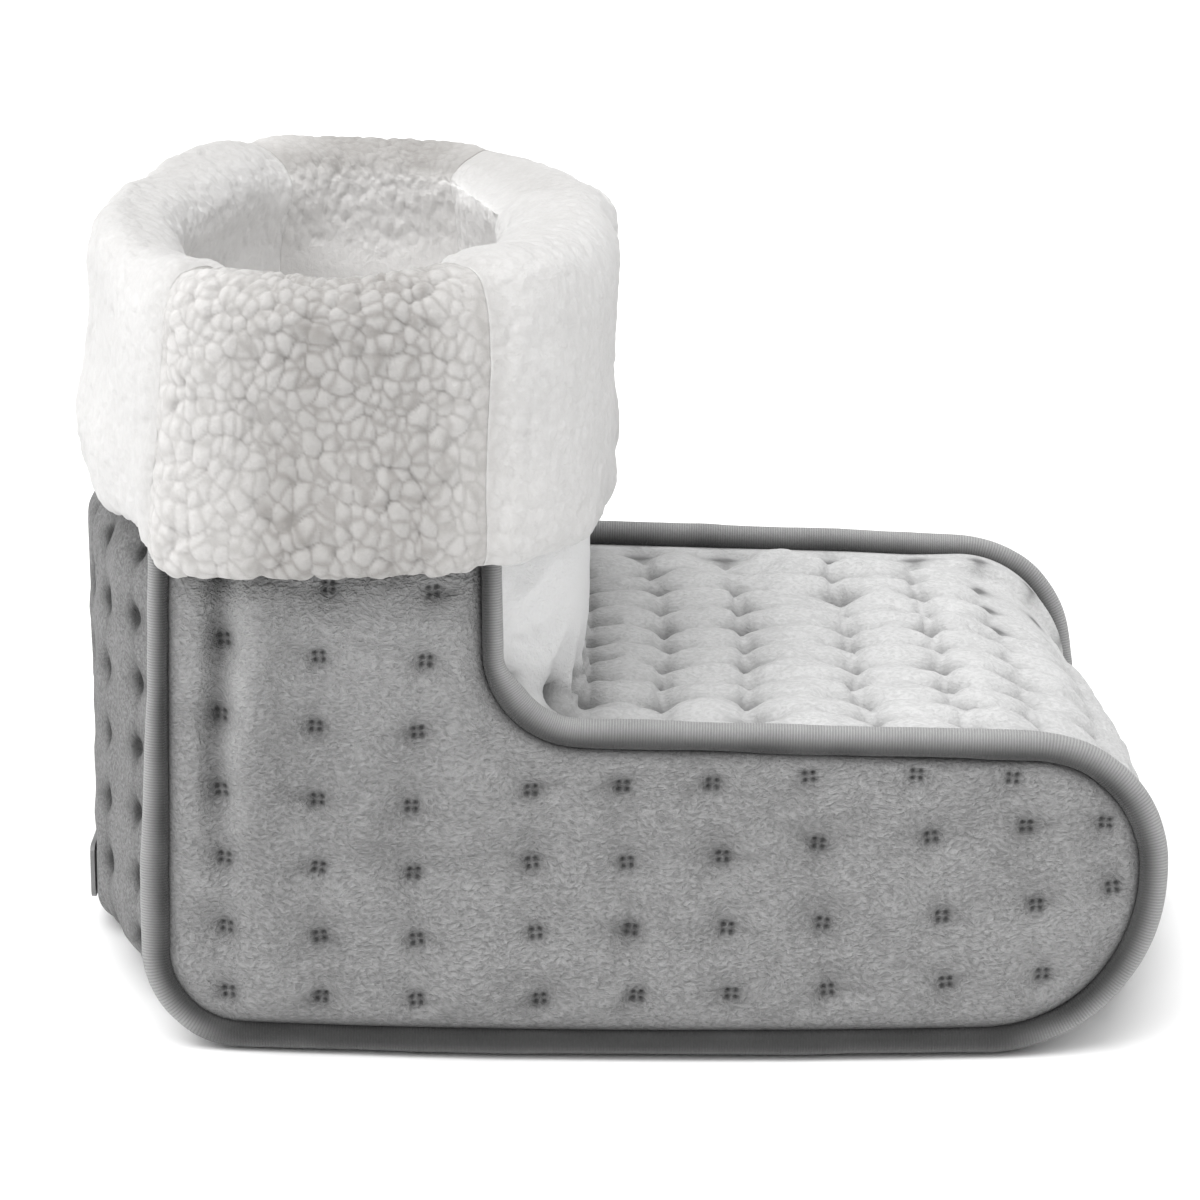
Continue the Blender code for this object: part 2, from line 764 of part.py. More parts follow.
def move_to_side(item, side, centre_y):
    """Move a plate, modelled about y = 0, to the right or the left wall."""
    for vertex in item.data.vertices:
        vertex.co.y = side * (centre_y + vertex.co.y)
    if side < 0:
        item.data.flip_normals()
    return item


def seam_distance(x, z):
    """Distance from a point of a side panel to the seam round it."""
    nearest = SHAFT_TOP_Z
    for before, after in zip(SEAM_TRACK, SEAM_TRACK[1:]):
        ax, az = before[0]
        bx, bz = after[0]
        length = math.hypot(bx - ax, bz - az)
        if length < STRAIGHT_TOLERANCE:
            continue
        share = ((x - ax) * (bx - ax) + (z - az) * (bz - az)) / length ** 2
        share = min(1.0, max(0.0, share))
        nearest = min(nearest, math.hypot(x - mix(ax, bx, share), z - mix(az, bz, share)))
    return nearest


def inside_seam(x, z):
    """True where a point of the grid lies within the seam outline."""
    crossings = 0
    points = [sample[0] for sample in SEAM_TRACK]
    for (ax, az), (bx, bz) in zip(points, points[1:] + points[:1]):
        if (az > z) != (bz > z) and x < mix(ax, bx, (z - az) / (bz - az)):
            crossings += 1
    return crossings % 2 == 1


def build_side_cover(name, side):
    columns = 2 * SIDE_COLUMNS
    rows = 2 * SIDE_ROWS

    def place(column, row):
        x = SIDE_TUFT_X + (column / 2.0 - SIDE_COLUMNS_BEFORE) * TUFT_PITCH_LONG
        z = SIDE_TUFT_Z + (row / 2.0 - SIDE_ROWS_BEFORE) * TUFT_PITCH_SHORT
        run = TOE_TUFT_LIFT_END_X - TOE_TUFT_LIFT_START_X
        return x, z + TOE_TUFT_LIFT * smooth((x - TOE_TUFT_LIFT_START_X) / run)

    def face(column, row):
        x, z = place(column, row)
        away = seam_distance(x, z)
        if inside_seam(x, z):
            crown = SIDE_CROWN * (1.0 - math.exp(-away / SIDE_CROWN_RUN))
            rise = quilt_lift(column, row, SIDE_TUFT_DEPTH, SIDE_RIDGE, SIDE_PUFF)
            crown += rise * smooth(away / SIDE_QUILT_BLEND)
            crown *= 1.0 - SIDE_PRESS_SHARE * cuff_press(z)
        else:
            crown = -min(SIDE_EDGE_DROP, away * SIDE_CROWN / SIDE_CROWN_RUN)
        return (x, side * (SIDE_FACE_Y + COVER_THICKNESS + crown), z)

    def core(column, row):
        x, z = place(column, row)
        return (x, side * (SIDE_FACE_Y - COVER_CUT_MARGIN), z)

    def tufted(column, row):
        x, z = place(column, row)
        clear = inside_seam(x, z) and seam_distance(x, z) > TUFT_EDGE_MARGIN
        return column % 2 == 0 and row % 2 == 0 and clear and z < CUFF_LOWER_Z

    cover = slab(name, columns, rows, face, core, tufted)
    half = COVER_CUT_MARGIN
    trim = outline_solid(name + "_trim", inset_outline(FIT_GAP, SHAFT_TOP_Z), half, CUTTERS)
    make_cutter(move_to_side(trim, side, SIDE_FACE_Y + half))
    cut(cover, trim, "INTERSECT")
    return finish_piece(cover, PLUSH_GREY, 0.95)


def side_plate(name, side, inset, outer_y, thickness, top_z):
    plate = outline_solid(name, inset_outline(inset, top_z), thickness / 2.0)
    return move_to_side(plate, side, outer_y - thickness / 2.0)


def build_side_wadding(name, side):
    outer_y = SIDE_FACE_Y - FIT_GAP
    inset = WADDING_DEPTH + SIDE_INSET_GAP
    plate = side_plate(name, side, inset, outer_y, WADDING_THICKNESS, SHAFT_TOP_Z)
    return finish_piece(plate, WADDING_WHITE, 0.95, shaded_smooth=False)


def build_side_liner(name, side):
    outer_y = SIDE_FACE_Y - 2 * FIT_GAP - WADDING_THICKNESS
    inset = LINER_DEPTH + SIDE_INSET_GAP
    top_z = CUFF_INNER_LOWER_Z - FIT_GAP
    plate = side_plate(name, side, inset, outer_y, LINER_THICKNESS, top_z)
    return finish_piece(plate, FLEECE_WHITE, 0.95, shaded_smooth=False)


def build_binding(name, side):
    """Tape that stands out round the seam, open at both ends under the cuff."""
    near = BINDING_OVER_SEAM
    outer = []
    inner = []
    for at in range(len(SEAM_TRACK)):
        inner_point = track_point(SEAM_TRACK, at, -near)
        outer_point = track_point(SEAM_TRACK, at, -near - BINDING_WIDTH)
        if inner_point[1] <= BINDING_TOP_Z:
            inner.append(inner_point)
        if outer_point[1] <= BINDING_TOP_Z:
            outer.append(outer_point)
    inner = thin(close_ends(inner))
    outer = thin(close_ends(outer))
    band = outline_solid(name, outer + inner[::-1], BINDING_THICKNESS / 2.0)
    bevel = band.modifiers.new("rounded_edges", "BEVEL")
    bevel.width = BINDING_EDGE_RADIUS
    bevel.segments = 2
    bevel.limit_method = "ANGLE"
    bevel.angle_limit = math.radians(50.0)
    move_to_side(band, side, SIDE_FACE_Y + BINDING_THICKNESS / 2.0)
    return finish_piece(band, BINDING_GREY, 0.8)


def close_ends(points):
    """Run an outline up to the height where the binding ends."""
    return [(points[0][0], BINDING_TOP_Z), *points, (points[-1][0], BINDING_TOP_Z)]


def cuff_plan():
    """Half of the cuff's outer outline in plan, from the heel to the front, at +Y."""
    points = []
    for step in range(PLAN_SAMPLES + 1):
        angle = math.pi * step / PLAN_SAMPLES
        heel = angle < math.pi / 2.0
        reach = CUFF_HEEL_REACH + CUFF_CORNER_BLEND / 4.0 if heel else CUFF_FRONT_REACH
        power = CUFF_HEEL_POWER if heel else CUFF_FRONT_POWER
        run = abs(math.cos(angle)) ** (2.0 / power) * reach
        rise = abs(math.sin(angle)) ** (2.0 / power) * CUFF_HALF_WIDTH
        if heel:
            bow = reach - CUFF_HEEL_BOW * (rise / CUFF_HALF_WIDTH) ** 2
            points.append((CUFF_CENTRE_X - soft_least(run, bow, CUFF_CORNER_BLEND), rise))
        else:
            points.append((CUFF_CENTRE_X + run, rise))
    return points


def mouth_plan():
    """Half of the mouth's outline in plan, from the heel to the front, at +Y."""
    side_y = SIDE_FACE_Y - 2 * FIT_GAP - WADDING_THICKNESS - LINER_THICKNESS - FIT_GAP
    heel = []
    front = []
    for step in range(PLAN_SAMPLES // 2 + 1):
        y = side_y * step / (PLAN_SAMPLES // 2)
        heel.append((strip_point(0.0, y, MOUTH_DEPTH)[0], y))
        front.append((strip_point(TRACK_END, y, MOUTH_DEPTH)[0], y))
    return heel, front[::-1]


def spread(points, count):
    """Divide a plan line into equal lengths."""
    travelled = [0.0]
    for before, after in zip(points, points[1:]):
        travelled.append(travelled[-1] + math.dist(before, after))
    spots = []
    index = 0
    for step in range(count + 1):
        goal = travelled[-1] * step / count
        while index < len(points) - 2 and travelled[index + 1] < goal:
            index += 1
        share = (goal - travelled[index]) / (travelled[index + 1] - travelled[index])
        spots.append(mix(points[index], points[index + 1], share))
    return spots


def mirrored(points):
    """The same plan line at -Y, run the other way."""
    return [(x, -y) for x, y in reversed(points)]


def cuff_section(row, reach):
    """Two faces of the folded cuff at one row: distance from the mouth and height."""
    spring = SHAFT_TOP_Z + FIT_GAP
    rows = CUFF_INNER_ROWS + CUFF_CREST_ROWS
    if row <= CUFF_INNER_ROWS:
        z = mix(CUFF_INNER_LOWER_Z, spring, row / CUFF_INNER_ROWS)
        return (0.0, z), (CUFF_INNER_THICKNESS, z)
    if row < rows:
        angle = math.pi * (1.0 - (row - CUFF_INNER_ROWS) / CUFF_CREST_ROWS)
        low, high = CUFF_INNER_THICKNESS, reach - CUFF_OUTER_THICKNESS
        rise = CUFF_CREST_RISE - CUFF_TOP_THICKNESS
        face = (reach / 2.0 * (1.0 + math.cos(angle)), spring + CUFF_CREST_RISE * math.sin(angle))
        core = (mix(low, high, (1.0 + math.cos(angle)) / 2.0), spring + rise * math.sin(angle))
        return face, core
    z = mix(spring, CUFF_LOWER_Z, (row - rows) / CUFF_OUTER_ROWS)
    flare = CUFF_FLARE * smooth(1.0 - (z - CUFF_LOWER_Z) / CUFF_FLARE_RUN)
    return (reach + flare, z), (reach - CUFF_OUTER_THICKNESS + flare, z)


def build_cuff(name, outer_line, inner_line, columns):
    outer = spread(outer_line, columns)
    inner = spread(inner_line, columns)
    rows = CUFF_INNER_ROWS + CUFF_CREST_ROWS + CUFF_OUTER_ROWS
    crest = CUFF_INNER_ROWS + CUFF_CREST_ROWS

    def place(column, row, layer):
        start, end = inner[column], outer[column]
        reach = math.dist(start, end)
        along = unit(start, end)
        distance, z = cuff_section(row, reach)[layer]
        travel = math.atan2(end[1], end[0] - CUFF_CENTRE_X) * CUFF_HALF_WIDTH
        if row > crest:
            share = (row - crest) / CUFF_OUTER_ROWS
            z += CUFF_SCALLOP * share * math.sin(math.tau * travel / CUFF_SCALLOP_PITCH)
        if layer == 0 and row > CUFF_INNER_ROWS and 0 < column < columns:
            distance += CUFF_SWELL * math.sin(math.tau * (travel + z) / CUFF_SWELL_PITCH)
        return (start[0] + along[0] * distance, start[1] + along[1] * distance, z)

    def face(column, row):
        return place(column, row, 0)

    def core(column, row):
        return place(column, row, 1)

    return finish_piece(slab(name, columns, rows, face, core), FLEECE_WHITE, 0.95)


def build_cuffs():
    """Four panels of one folded cuff, with a seam between neighbours."""
    outline = cuff_plan()
    heel_mouth, front_mouth = mouth_plan()
    half_gap = CUFF_SEAM_GAP / 2.0
    side = [p for p in outline if CUFF_HEEL_SEAM_X < p[0] < CUFF_FRONT_SEAM_X]
    heel = [p for p in outline if p[0] <= CUFF_HEEL_SEAM_X - half_gap]
    front = [p for p in outline if p[0] >= CUFF_FRONT_SEAM_X + half_gap]
    side_y = heel_mouth[-1][1]
    side_mouth = [
        (heel_mouth[-1][0] + half_gap, side_y),
        (front_mouth[0][0] - half_gap, side_y),
    ]
    heel_mouth = [p for p in heel_mouth if p[1] <= side_y - half_gap]
    front_mouth = [p for p in front_mouth if p[1] <= side_y - half_gap]
    build_cuff("left_cuff_panel", side, side_mouth, CUFF_SIDE_COLUMNS)
    build_cuff("right_cuff_panel", mirrored(side), mirrored(side_mouth), CUFF_SIDE_COLUMNS)
    heel_line = mirrored(heel)[:-1] + heel
    heel_inner = mirrored(heel_mouth)[:-1] + heel_mouth
    build_cuff("heel_cuff_panel", heel_line, heel_inner, CUFF_END_COLUMNS)
    front_line = front[:-1] + mirrored(front)
    front_inner = front_mouth[:-1] + mirrored(front_mouth)
    build_cuff("front_cuff_panel", front_line, front_inner, CUFF_END_COLUMNS)


def build_wadding():
    for word, side in SIDES.items():
        build_side_wadding(word + "_side_wadding", side)
    half_width = SIDE_FACE_Y - FIT_GAP - WADDING_THICKNESS - FIT_GAP
    stations = HEEL_STATIONS[:-1]
    heel = strip_layer(
        "heel_wadding", stations, WADDING_DEPTH, WADDING_THICKNESS, half_width, 0, SHAFT_TOP_Z
    )
    cut(heel, INLET_CUTTER)
    cut(heel, FRAME_CUTTER)
    finish_piece(heel, WADDING_WHITE, 0.95)
    stations = UPPER_STATIONS[2:]
    last = len(stations) - 1
    upper = strip_layer(
        "upper_wadding", stations, WADDING_DEPTH, WADDING_THICKNESS, half_width, last, SHAFT_TOP_Z
    )
    finish_piece(upper, WADDING_WHITE, 0.95)


def seam_height_at(z, first, last):
    """Track position between two samples where the seam reaches a height."""
    for at in range(first, last):
        low, high = SEAM_TRACK[at][0][1], SEAM_TRACK[at + 1][0][1]
        if min(low, high) <= z <= max(low, high):
            return at + (z - low) / (high - low)
    return float(last)


def build_liners():
    for word, side in SIDES.items():
        build_side_liner(word + "_side_liner", side)
    top_z = CUFF_INNER_LOWER_Z - FIT_GAP
    half_width = SIDE_FACE_Y - 2 * FIT_GAP - WADDING_THICKNESS - LINER_THICKNESS - FIT_GAP
    start = seam_height_at(top_z, 0, HEEL_LINE_END)
    stations = clipped(HEEL_STATIONS, start, HEEL_STATIONS[-4])
    heel = strip_layer("heel_liner", stations, LINER_DEPTH, LINER_THICKNESS, half_width, 0, top_z)
    cut(heel, INLET_CUTTER)
    finish_piece(heel, FLEECE_WHITE, 0.95)
    end = seam_height_at(top_z, INSTEP_ARC_START + ARC_STEPS, TRACK_END)
    stations = clipped(UPPER_STATIONS, UPPER_STATIONS[2], end)
    last = len(stations) - 1
    upper = strip_layer(
        "upper_liner", stations, LINER_DEPTH, LINER_THICKNESS, half_width, last, top_z
    )
    finish_piece(upper, FLEECE_WHITE, 0.95)


def sole_layer(name, half_width, face_height, core_height, toe_reach=0.0):
    """Flat layer of the sole, from the heel bow to the toe bow."""
    stations = (HEEL_ARC_END, SOLE_LINE_END)

    def place(column, row, height):
        at = mix(*stations, column / PLATE_COLUMNS)
        y = (2.0 * row / PLATE_ROWS - 1.0) * half_width
        x = strip_point(at, y, 0.0)[0]
        if column == 0:
            x += LAYER_HEEL_GAP
        if column == PLATE_COLUMNS:
            x += toe_reach * round_share(y)
        return (x, y, height(at, y))

    def face(column, row):
        return place(column, row, face_height)

    def core(column, row):
        return place(column, row, core_height)

    return slab(name, PLATE_COLUMNS, PLATE_ROWS, face, core)


def level(z):
    """Height that is the same everywhere."""
    return lambda at, y: z


def over_sole_cover(at, y):
    return strip_point(at, y, SOLE_COVER_THICKNESS + FIT_GAP)[2]


def build_sole_layers():
    foam = sole_layer("sole_foam", SOLE_FOAM_HALF_WIDTH, level(SOLE_FOAM_TOP_Z), over_sole_cover)
    finish_piece(foam, FOAM_GREY, 0.9, shaded_smooth=False)
    for name, z in (("heater_base_fleece", HEATER_BASE_Z), ("heater_top_fleece", HEATER_TOP_Z)):
        fleece = sole_layer(name, HEATER_HALF_WIDTH, level(z + HEATER_FLEECE_THICKNESS), level(z))
        finish_piece(fleece, CARRIER_WHITE, 0.95, shaded_smooth=False)
    footbed_half = SIDE_FACE_Y - 2 * FIT_GAP - WADDING_THICKNESS - LINER_THICKNESS - FIT_GAP
    footbed = sole_layer(
        "footbed_liner",
        footbed_half,
        level(FOOTBED_Z + FOOTBED_THICKNESS),
        level(FOOTBED_Z),
        FOOTBED_TOE_REACH,
    )
    finish_piece(footbed, FLEECE_WHITE, 0.95, shaded_smooth=False)


def rounded_path(points, radius):
    """Path with its corners rounded; all of it lies at the height of the wire."""
    path = [points[0]]
    for before, corner, after in zip(points, points[1:], points[2:]):
        along = unit(before, corner)
        onward = unit(corner, after)
        turn = math.atan2(cross(along, onward), dot(along, onward))
        setback = radius * math.tan(abs(turn) / 2.0)
        side = math.copysign(1.0, turn)
        start = (corner[0] - along[0] * setback, corner[1] - along[1] * setback)
        centre = (start[0] - along[1] * side * radius, start[1] + along[0] * side * radius)
        heading = math.atan2(along[1], along[0])
        for step in range(CORNER_STEPS + 1):
            angle = heading + turn * step / CORNER_STEPS
            path.append(
                (
                    centre[0] + math.sin(angle) * side * radius,
                    centre[1] - math.cos(angle) * side * radius,
                )
            )
    path.append(points[-1])
    return path


def run_y(run):
    """Place of one straight run of the heating wire across the width."""
    return (run - (WIRE_RUNS - 1) / 2.0) * WIRE_RUN_PITCH


def build_heating_wire():
    """Wire in long runs over the whole sole; both ends come back to the inlet."""
    first_y, last_y = run_y(0), run_y(WIRE_RUNS - 1)
    lead_in = [
        (WIRE_END_X, -WIRE_END_Y),
        (WIRE_RETURN_X, -WIRE_END_Y),
        (WIRE_RETURN_X, first_y),
        (WIRE_RUN_HEEL_X, first_y),
    ]
    path = rounded_path(lead_in, WIRE_CORNER_RADIUS)
    turn_radius = WIRE_RUN_PITCH / 2.0
    for run in range(WIRE_RUNS - 1):
        toeward = run % 2 == 0
        end_x = WIRE_RUN_TOE_X if toeward else WIRE_RUN_HEEL_X
        centre_y = run_y(run) + turn_radius
        for step in range(TURN_STEPS + 1):
            angle = math.pi * step / TURN_STEPS
            bulge = math.sin(angle) * turn_radius
            path.append(
                (
                    end_x + bulge if toeward else end_x - bulge,
                    centre_y - math.cos(angle) * turn_radius,
                )
            )
    lead_out = [
        (WIRE_RUN_HEEL_X, last_y),
        (WIRE_RETURN_X, last_y),
        (WIRE_RETURN_X, WIRE_END_Y),
        (WIRE_END_X, WIRE_END_Y),
    ]
    path += rounded_path(lead_out, WIRE_CORNER_RADIUS)
    wire = tube_solid("heating_wire", [(x, y, WIRE_Z) for x, y in path], HEATING_WIRE_RADIUS)
    finish_piece(wire, WIRE_RED, 0.5)


def build_splice_and_cutout():
    x = WIRE_END_X - FIT_GAP
    splice = rod_solid(
        "splice_sleeve",
        (x - SPLICE_LENGTH, -WIRE_END_Y, WIRE_Z),
        SPLICE_LENGTH,
        SPLICE_RADIUS,
        ROUND_SIDES,
    )
    finish_piece(splice, SLEEVE_CLEAR, 0.4)
    cutout = rod_solid(
        "thermal_cutout",
        (x - CUTOUT_LENGTH, WIRE_END_Y, WIRE_Z),
        CUTOUT_LENGTH,
        SPLICE_RADIUS,
        ROUND_SIDES,
    )
    finish_piece(cutout, PIN_METAL, 0.4, 0.6)


def sensor_front_x():
    return WIRE_END_X - FIT_GAP


def build_sensor():
    centre = (sensor_front_x() + SENSOR_SIZE / 2.0, 0.0, WIRE_Z)
    sensor = box_solid("temperature_sensor", centre, (SENSOR_SIZE, SENSOR_SIZE, SENSOR_THICKNESS))
    finish_piece(sensor, SLEEVE_CLEAR, 0.4, shaded_smooth=False)


def pin_y(index):
    """Place of one contact across the inlet, counted from the right."""
    return (index - (PIN_COUNT - 1) / 2.0) * LEAD_PITCH


def build_leads():
    splice_x = WIRE_END_X - FIT_GAP - SPLICE_LENGTH
    cutout_x = WIRE_END_X - FIT_GAP - CUTOUT_LENGTH
    bend_x = mix(LEAD_START_X, cutout_x, 0.5)
    ends = (
        ("heater_lead_right", 0, splice_x, -WIRE_END_Y),
        ("sensor_lead_right", 1, sensor_front_x(), None),
        ("sensor_lead_left", 2, sensor_front_x(), None),
        ("heater_lead_left", 3, cutout_x, WIRE_END_Y),
    )
    for name, index, end_x, end_y in ends:
        start = (LEAD_START_X, pin_y(index))
        if end_y is None:
            path = [start, (end_x - FIT_GAP, start[1])]
        else:
            corners = [start, (bend_x, start[1]), (bend_x, end_y), (end_x - FIT_GAP, end_y)]
            path = rounded_path(corners, LEAD_CORNER_RADIUS)
        lead = tube_solid(name, [(x, y, WIRE_Z) for x, y in path], LEAD_RADIUS)
        finish_piece(lead, LEAD_GREY, 0.5)


def build_inlet():
    flange_centre_x = INLET_FRONT_X + INLET_FLANGE_THICKNESS / 2.0
    housing = box_solid(
        "inlet_housing",
        (flange_centre_x, 0.0, WIRE_Z),
        (INLET_FLANGE_THICKNESS, INLET_FLANGE_WIDTH, INLET_FLANGE_HEIGHT),
    )
    round_corners(housing, INLET_FLANGE_RADIUS)
    body_length = INLET_BACK_X - flange_centre_x
    body = box_solid(
        "inlet_body",
        (flange_centre_x + body_length / 2.0, 0.0, WIRE_Z),
        (body_length, INLET_BODY_WIDTH, INLET_BODY_HEIGHT),
        CUTTERS,
    )
    cut(housing, make_cutter(body), "UNION")
    cavity_length = INLET_CAVITY_DEPTH + INLET_CUT_REACH
    cavity = box_solid(
        "inlet_cavity",
        (INLET_FRONT_X + INLET_CAVITY_DEPTH - cavity_length / 2.0, 0.0, WIRE_Z),
        (
            cavity_length,
            INLET_BODY_WIDTH - 2 * INLET_WALL,
            INLET_BODY_HEIGHT - 2 * INLET_WALL,
        ),
        CUTTERS,
    )
    cut(housing, make_cutter(cavity))
    for index in range(PIN_COUNT):
        hole = rod_solid(
            "pin_hole_" + str(index + 1),
            (INLET_FRONT_X + INLET_CUT_REACH, pin_y(index), WIRE_Z),
            INLET_DEPTH,
            PIN_RADIUS + PIN_HOLE_CLEARANCE,
            PIN_SIDES,
            CUTTERS,
        )
        cut(housing, make_cutter(hole))
        start_x = INLET_FRONT_X + INLET_CAVITY_DEPTH - PIN_STAND
        pin = rod_solid(
            "contact_pin_" + str(index + 1),
            (start_x, pin_y(index), WIRE_Z),
            PIN_END_X - start_x,
            PIN_RADIUS,
            PIN_SIDES,
        )
        finish_piece(pin, PIN_METAL, 0.3, 1.0)
    finish_piece(housing, INLET_GREY, 0.5, shaded_smooth=False)
    frame = box_solid(
        "inlet_retaining_frame",
        (frame_front_x() + FRAME_THICKNESS / 2.0, 0.0, WIRE_Z),
        (FRAME_THICKNESS, FRAME_WIDTH, FRAME_HEIGHT),
    )
    cut(frame, INLET_CUTTER)
    finish_piece(frame, INLET_GREY, 0.5, shaded_smooth=False)


def round_corners(item, radius):
    """Round the four corners of a plate that faces along x."""
    work = bmesh.new()
    work.from_mesh(item.data)
    edges = [e for e in work.edges if abs(e.verts[0].co.x - e.verts[1].co.x) > STRAIGHT_TOLERANCE]
    bmesh.ops.bevel(work, geom=edges, offset=radius, segments=CORNER_STEPS, profile=0.5, affect="EDGES")
    work.to_mesh(item.data)
    work.free()


def frame_front_x():
    return MIDDLE_HEEL_X + COVER_THICKNESS + FRAME_BEHIND_COVER


def inlet_cutter():
    """Room for the inlet's body through the heel layers."""
    length = INLET_DEPTH + 2 * INLET_CUT_REACH
    centre_x = INLET_FRONT_X + INLET_DEPTH / 2.0
    size = (length, INLET_BODY_WIDTH + 2 * FIT_GAP, INLET_BODY_HEIGHT + 2 * FIT_GAP)
    return make_cutter(box_solid("inlet_room", (centre_x, 0.0, WIRE_Z), size, CUTTERS))


def frame_cutter():
    """Room for the retaining frame in the face of the heel wadding."""
    back_x = frame_front_x() + FRAME_THICKNESS + FIT_GAP
    length = FRAME_THICKNESS + INLET_CUT_REACH
    size = (length, FRAME_WIDTH + 2 * FIT_GAP, FRAME_HEIGHT + 2 * FIT_GAP)
    return make_cutter(box_solid("frame_room", (back_x - length / 2.0, 0.0, WIRE_Z), size, CUTTERS))


INLET_CUTTER = inlet_cutter()
FRAME_CUTTER = frame_cutter()


def build_covers():
    for word, side in SIDES.items():
        build_side_cover(word + "_side_cover", side)
        build_binding(word + "_binding", side)
    build_upper_cover()
    build_heel_cover()
    build_sole_cover()


build_covers()
build_cuffs()
build_wadding()
build_liners()
build_sole_layers()
build_heating_wire()
build_splice_and_cutout()
build_sensor()
build_leads()
build_inlet()
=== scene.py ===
"""Electric foot warmer, dressed: quilted plush covers, ribbed binding and a folded curly fleece cuff.

The toe points along +X, the mouth opens along +Z and the wearer's right side is at -Y.
Lengths are in metres unless a name ends in _MM. Numbers inside a formula are the depth and the width of
one dent, fold or shade of the cloth; what is used in more than one place has a name.
"""
import math

import bpy
import numpy as np
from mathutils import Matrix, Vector


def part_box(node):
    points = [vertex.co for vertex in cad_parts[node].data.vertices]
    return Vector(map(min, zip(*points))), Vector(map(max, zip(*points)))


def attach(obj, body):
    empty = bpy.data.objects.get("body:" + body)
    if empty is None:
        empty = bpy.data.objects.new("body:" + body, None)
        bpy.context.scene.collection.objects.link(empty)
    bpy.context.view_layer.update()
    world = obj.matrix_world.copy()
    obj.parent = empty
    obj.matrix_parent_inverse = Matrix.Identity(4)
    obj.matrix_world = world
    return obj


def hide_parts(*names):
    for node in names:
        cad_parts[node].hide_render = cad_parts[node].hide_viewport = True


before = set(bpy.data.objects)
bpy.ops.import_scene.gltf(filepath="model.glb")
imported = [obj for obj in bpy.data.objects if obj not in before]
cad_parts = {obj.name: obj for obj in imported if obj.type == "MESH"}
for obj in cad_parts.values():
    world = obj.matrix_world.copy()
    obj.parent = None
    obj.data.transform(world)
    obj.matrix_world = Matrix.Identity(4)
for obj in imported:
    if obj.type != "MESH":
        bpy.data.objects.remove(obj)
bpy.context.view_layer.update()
MM = 0.001


def grain(fine):
    return fine


# Noise

def lattice(ix, iy, seed):
    """Repeatable random number from 0 to 1 for each whole-number place."""
    a = ix.astype(np.int64) * 374761393 + iy.astype(np.int64) * 668265263 + seed * 974634777
    a = (a ^ (a >> 13)) * 1274126177
    a = a ^ (a >> 16)
    return (a & 0xFFFFFF) / float(0xFFFFFF)


def ripple(x, y, size, seed):
    """Smooth noise from -1 to 1 with bumps about one size wide."""
    x = x / size
    y = y / size
    ix = np.floor(x)
    iy = np.floor(y)
    fx = x - ix
    fy = y - iy
    fx = fx * fx * fx * (fx * (fx * 6 - 15) + 10)
    fy = fy * fy * fy * (fy * (fy * 6 - 15) + 10)
    low = lattice(ix, iy, seed) * (1 - fx) + lattice(ix + 1, iy, seed) * fx
    high = lattice(ix, iy + 1, seed) * (1 - fx) + lattice(ix + 1, iy + 1, seed) * fx
    return (low * (1 - fy) + high * fy) * 2 - 1


def layered(x, y, size, octaves, seed):
    total = np.zeros_like(x)
    share = 1.0
    for step in range(octaves):
        total = total + share * ripple(x, y, size, seed + 17 * step)
        size = size / 2
        share = share / 2
    return total


def curls(x, y, size, seed, blend=0.32):
    """Packed round curls: height of each soft dome, and how far a point is from the groove between two."""
    gx = x / size
    gy = y / size
    ix = np.floor(gx)
    iy = np.floor(gy)
    first = np.full(gx.shape, -9.0)
    second = np.full(gx.shape, -9.0)
    for dx in (-2, -1, 0, 1, 2):
        for dy in (-2, -1, 0, 1, 2):
            cx = ix + dx
            cy = iy + dy
            px = cx + 0.5 + (lattice(cx, cy, seed) - 0.5) * 1.05
            py = cy + 0.5 + (lattice(cx, cy, seed + 5) - 0.5) * 1.05
            lean = (lattice(cx, cy, seed + 11) - 0.5) * 0.9
            ax = gx - px
            ay = gy - py
            reach = ax * ax + ay * ay + lean * ax * ay
            dome = 0.55 * lattice(cx, cy, seed + 9) - reach
            second = np.maximum(second, np.minimum(first, dome))
            first = np.maximum(first, dome)
    gap = first - second
    near = np.maximum(0.0, 1 - gap / blend)
    return first + near * near * blend / 4, gap


def wander(x, size, seed):
    """Smooth noise from -1 to 1 along one line."""
    return ripple(x, x * 0, size, seed)


# Shapes of slopes

def ease(value):
    """Smooth step from 0 to 1."""
    held = np.clip(value, 0.0, 1.0)
    return held * held * (3 - 2 * held)


def bell(value, width, power=2):
    """One at nought, and fading to nothing past the given width."""
    return np.exp(-np.abs(value / width) ** power)


# Grids of points and their meshes

BACK_STEP = 4


def run_along(points):
    """Length of a line of points up to each of them."""
    return np.concatenate([[0], np.cumsum(np.linalg.norm(np.diff(points, axis=0), axis=1))])


def spread(points, count):
    """The line with its points set at equal distances, and its length."""
    run = run_along(points)
    goal = np.linspace(0, run[-1], count + 1)
    return np.stack([np.interp(goal, run, points[:, i]) for i in range(points.shape[1])], axis=1), run[-1]


def full_cells(keep):
    """Cells of a grid that have all four corners, and how many of them each point touches."""
    cell = keep[:-1, :-1] & keep[1:, :-1] & keep[:-1, 1:] & keep[1:, 1:]
    count = np.zeros(keep.shape, int)
    for dr, dc in ((0, 0), (1, 0), (0, 1), (1, 1)):
        count[dr:dr + cell.shape[0], dc:dc + cell.shape[1]] += cell
    return cell, count


def normals_of(points):
    along = np.gradient(points, axis=1)
    across = np.gradient(points, axis=0)
    normal = np.cross(along, across)
    return normal / np.maximum(np.linalg.norm(normal, axis=2, keepdims=True), 1e-12)


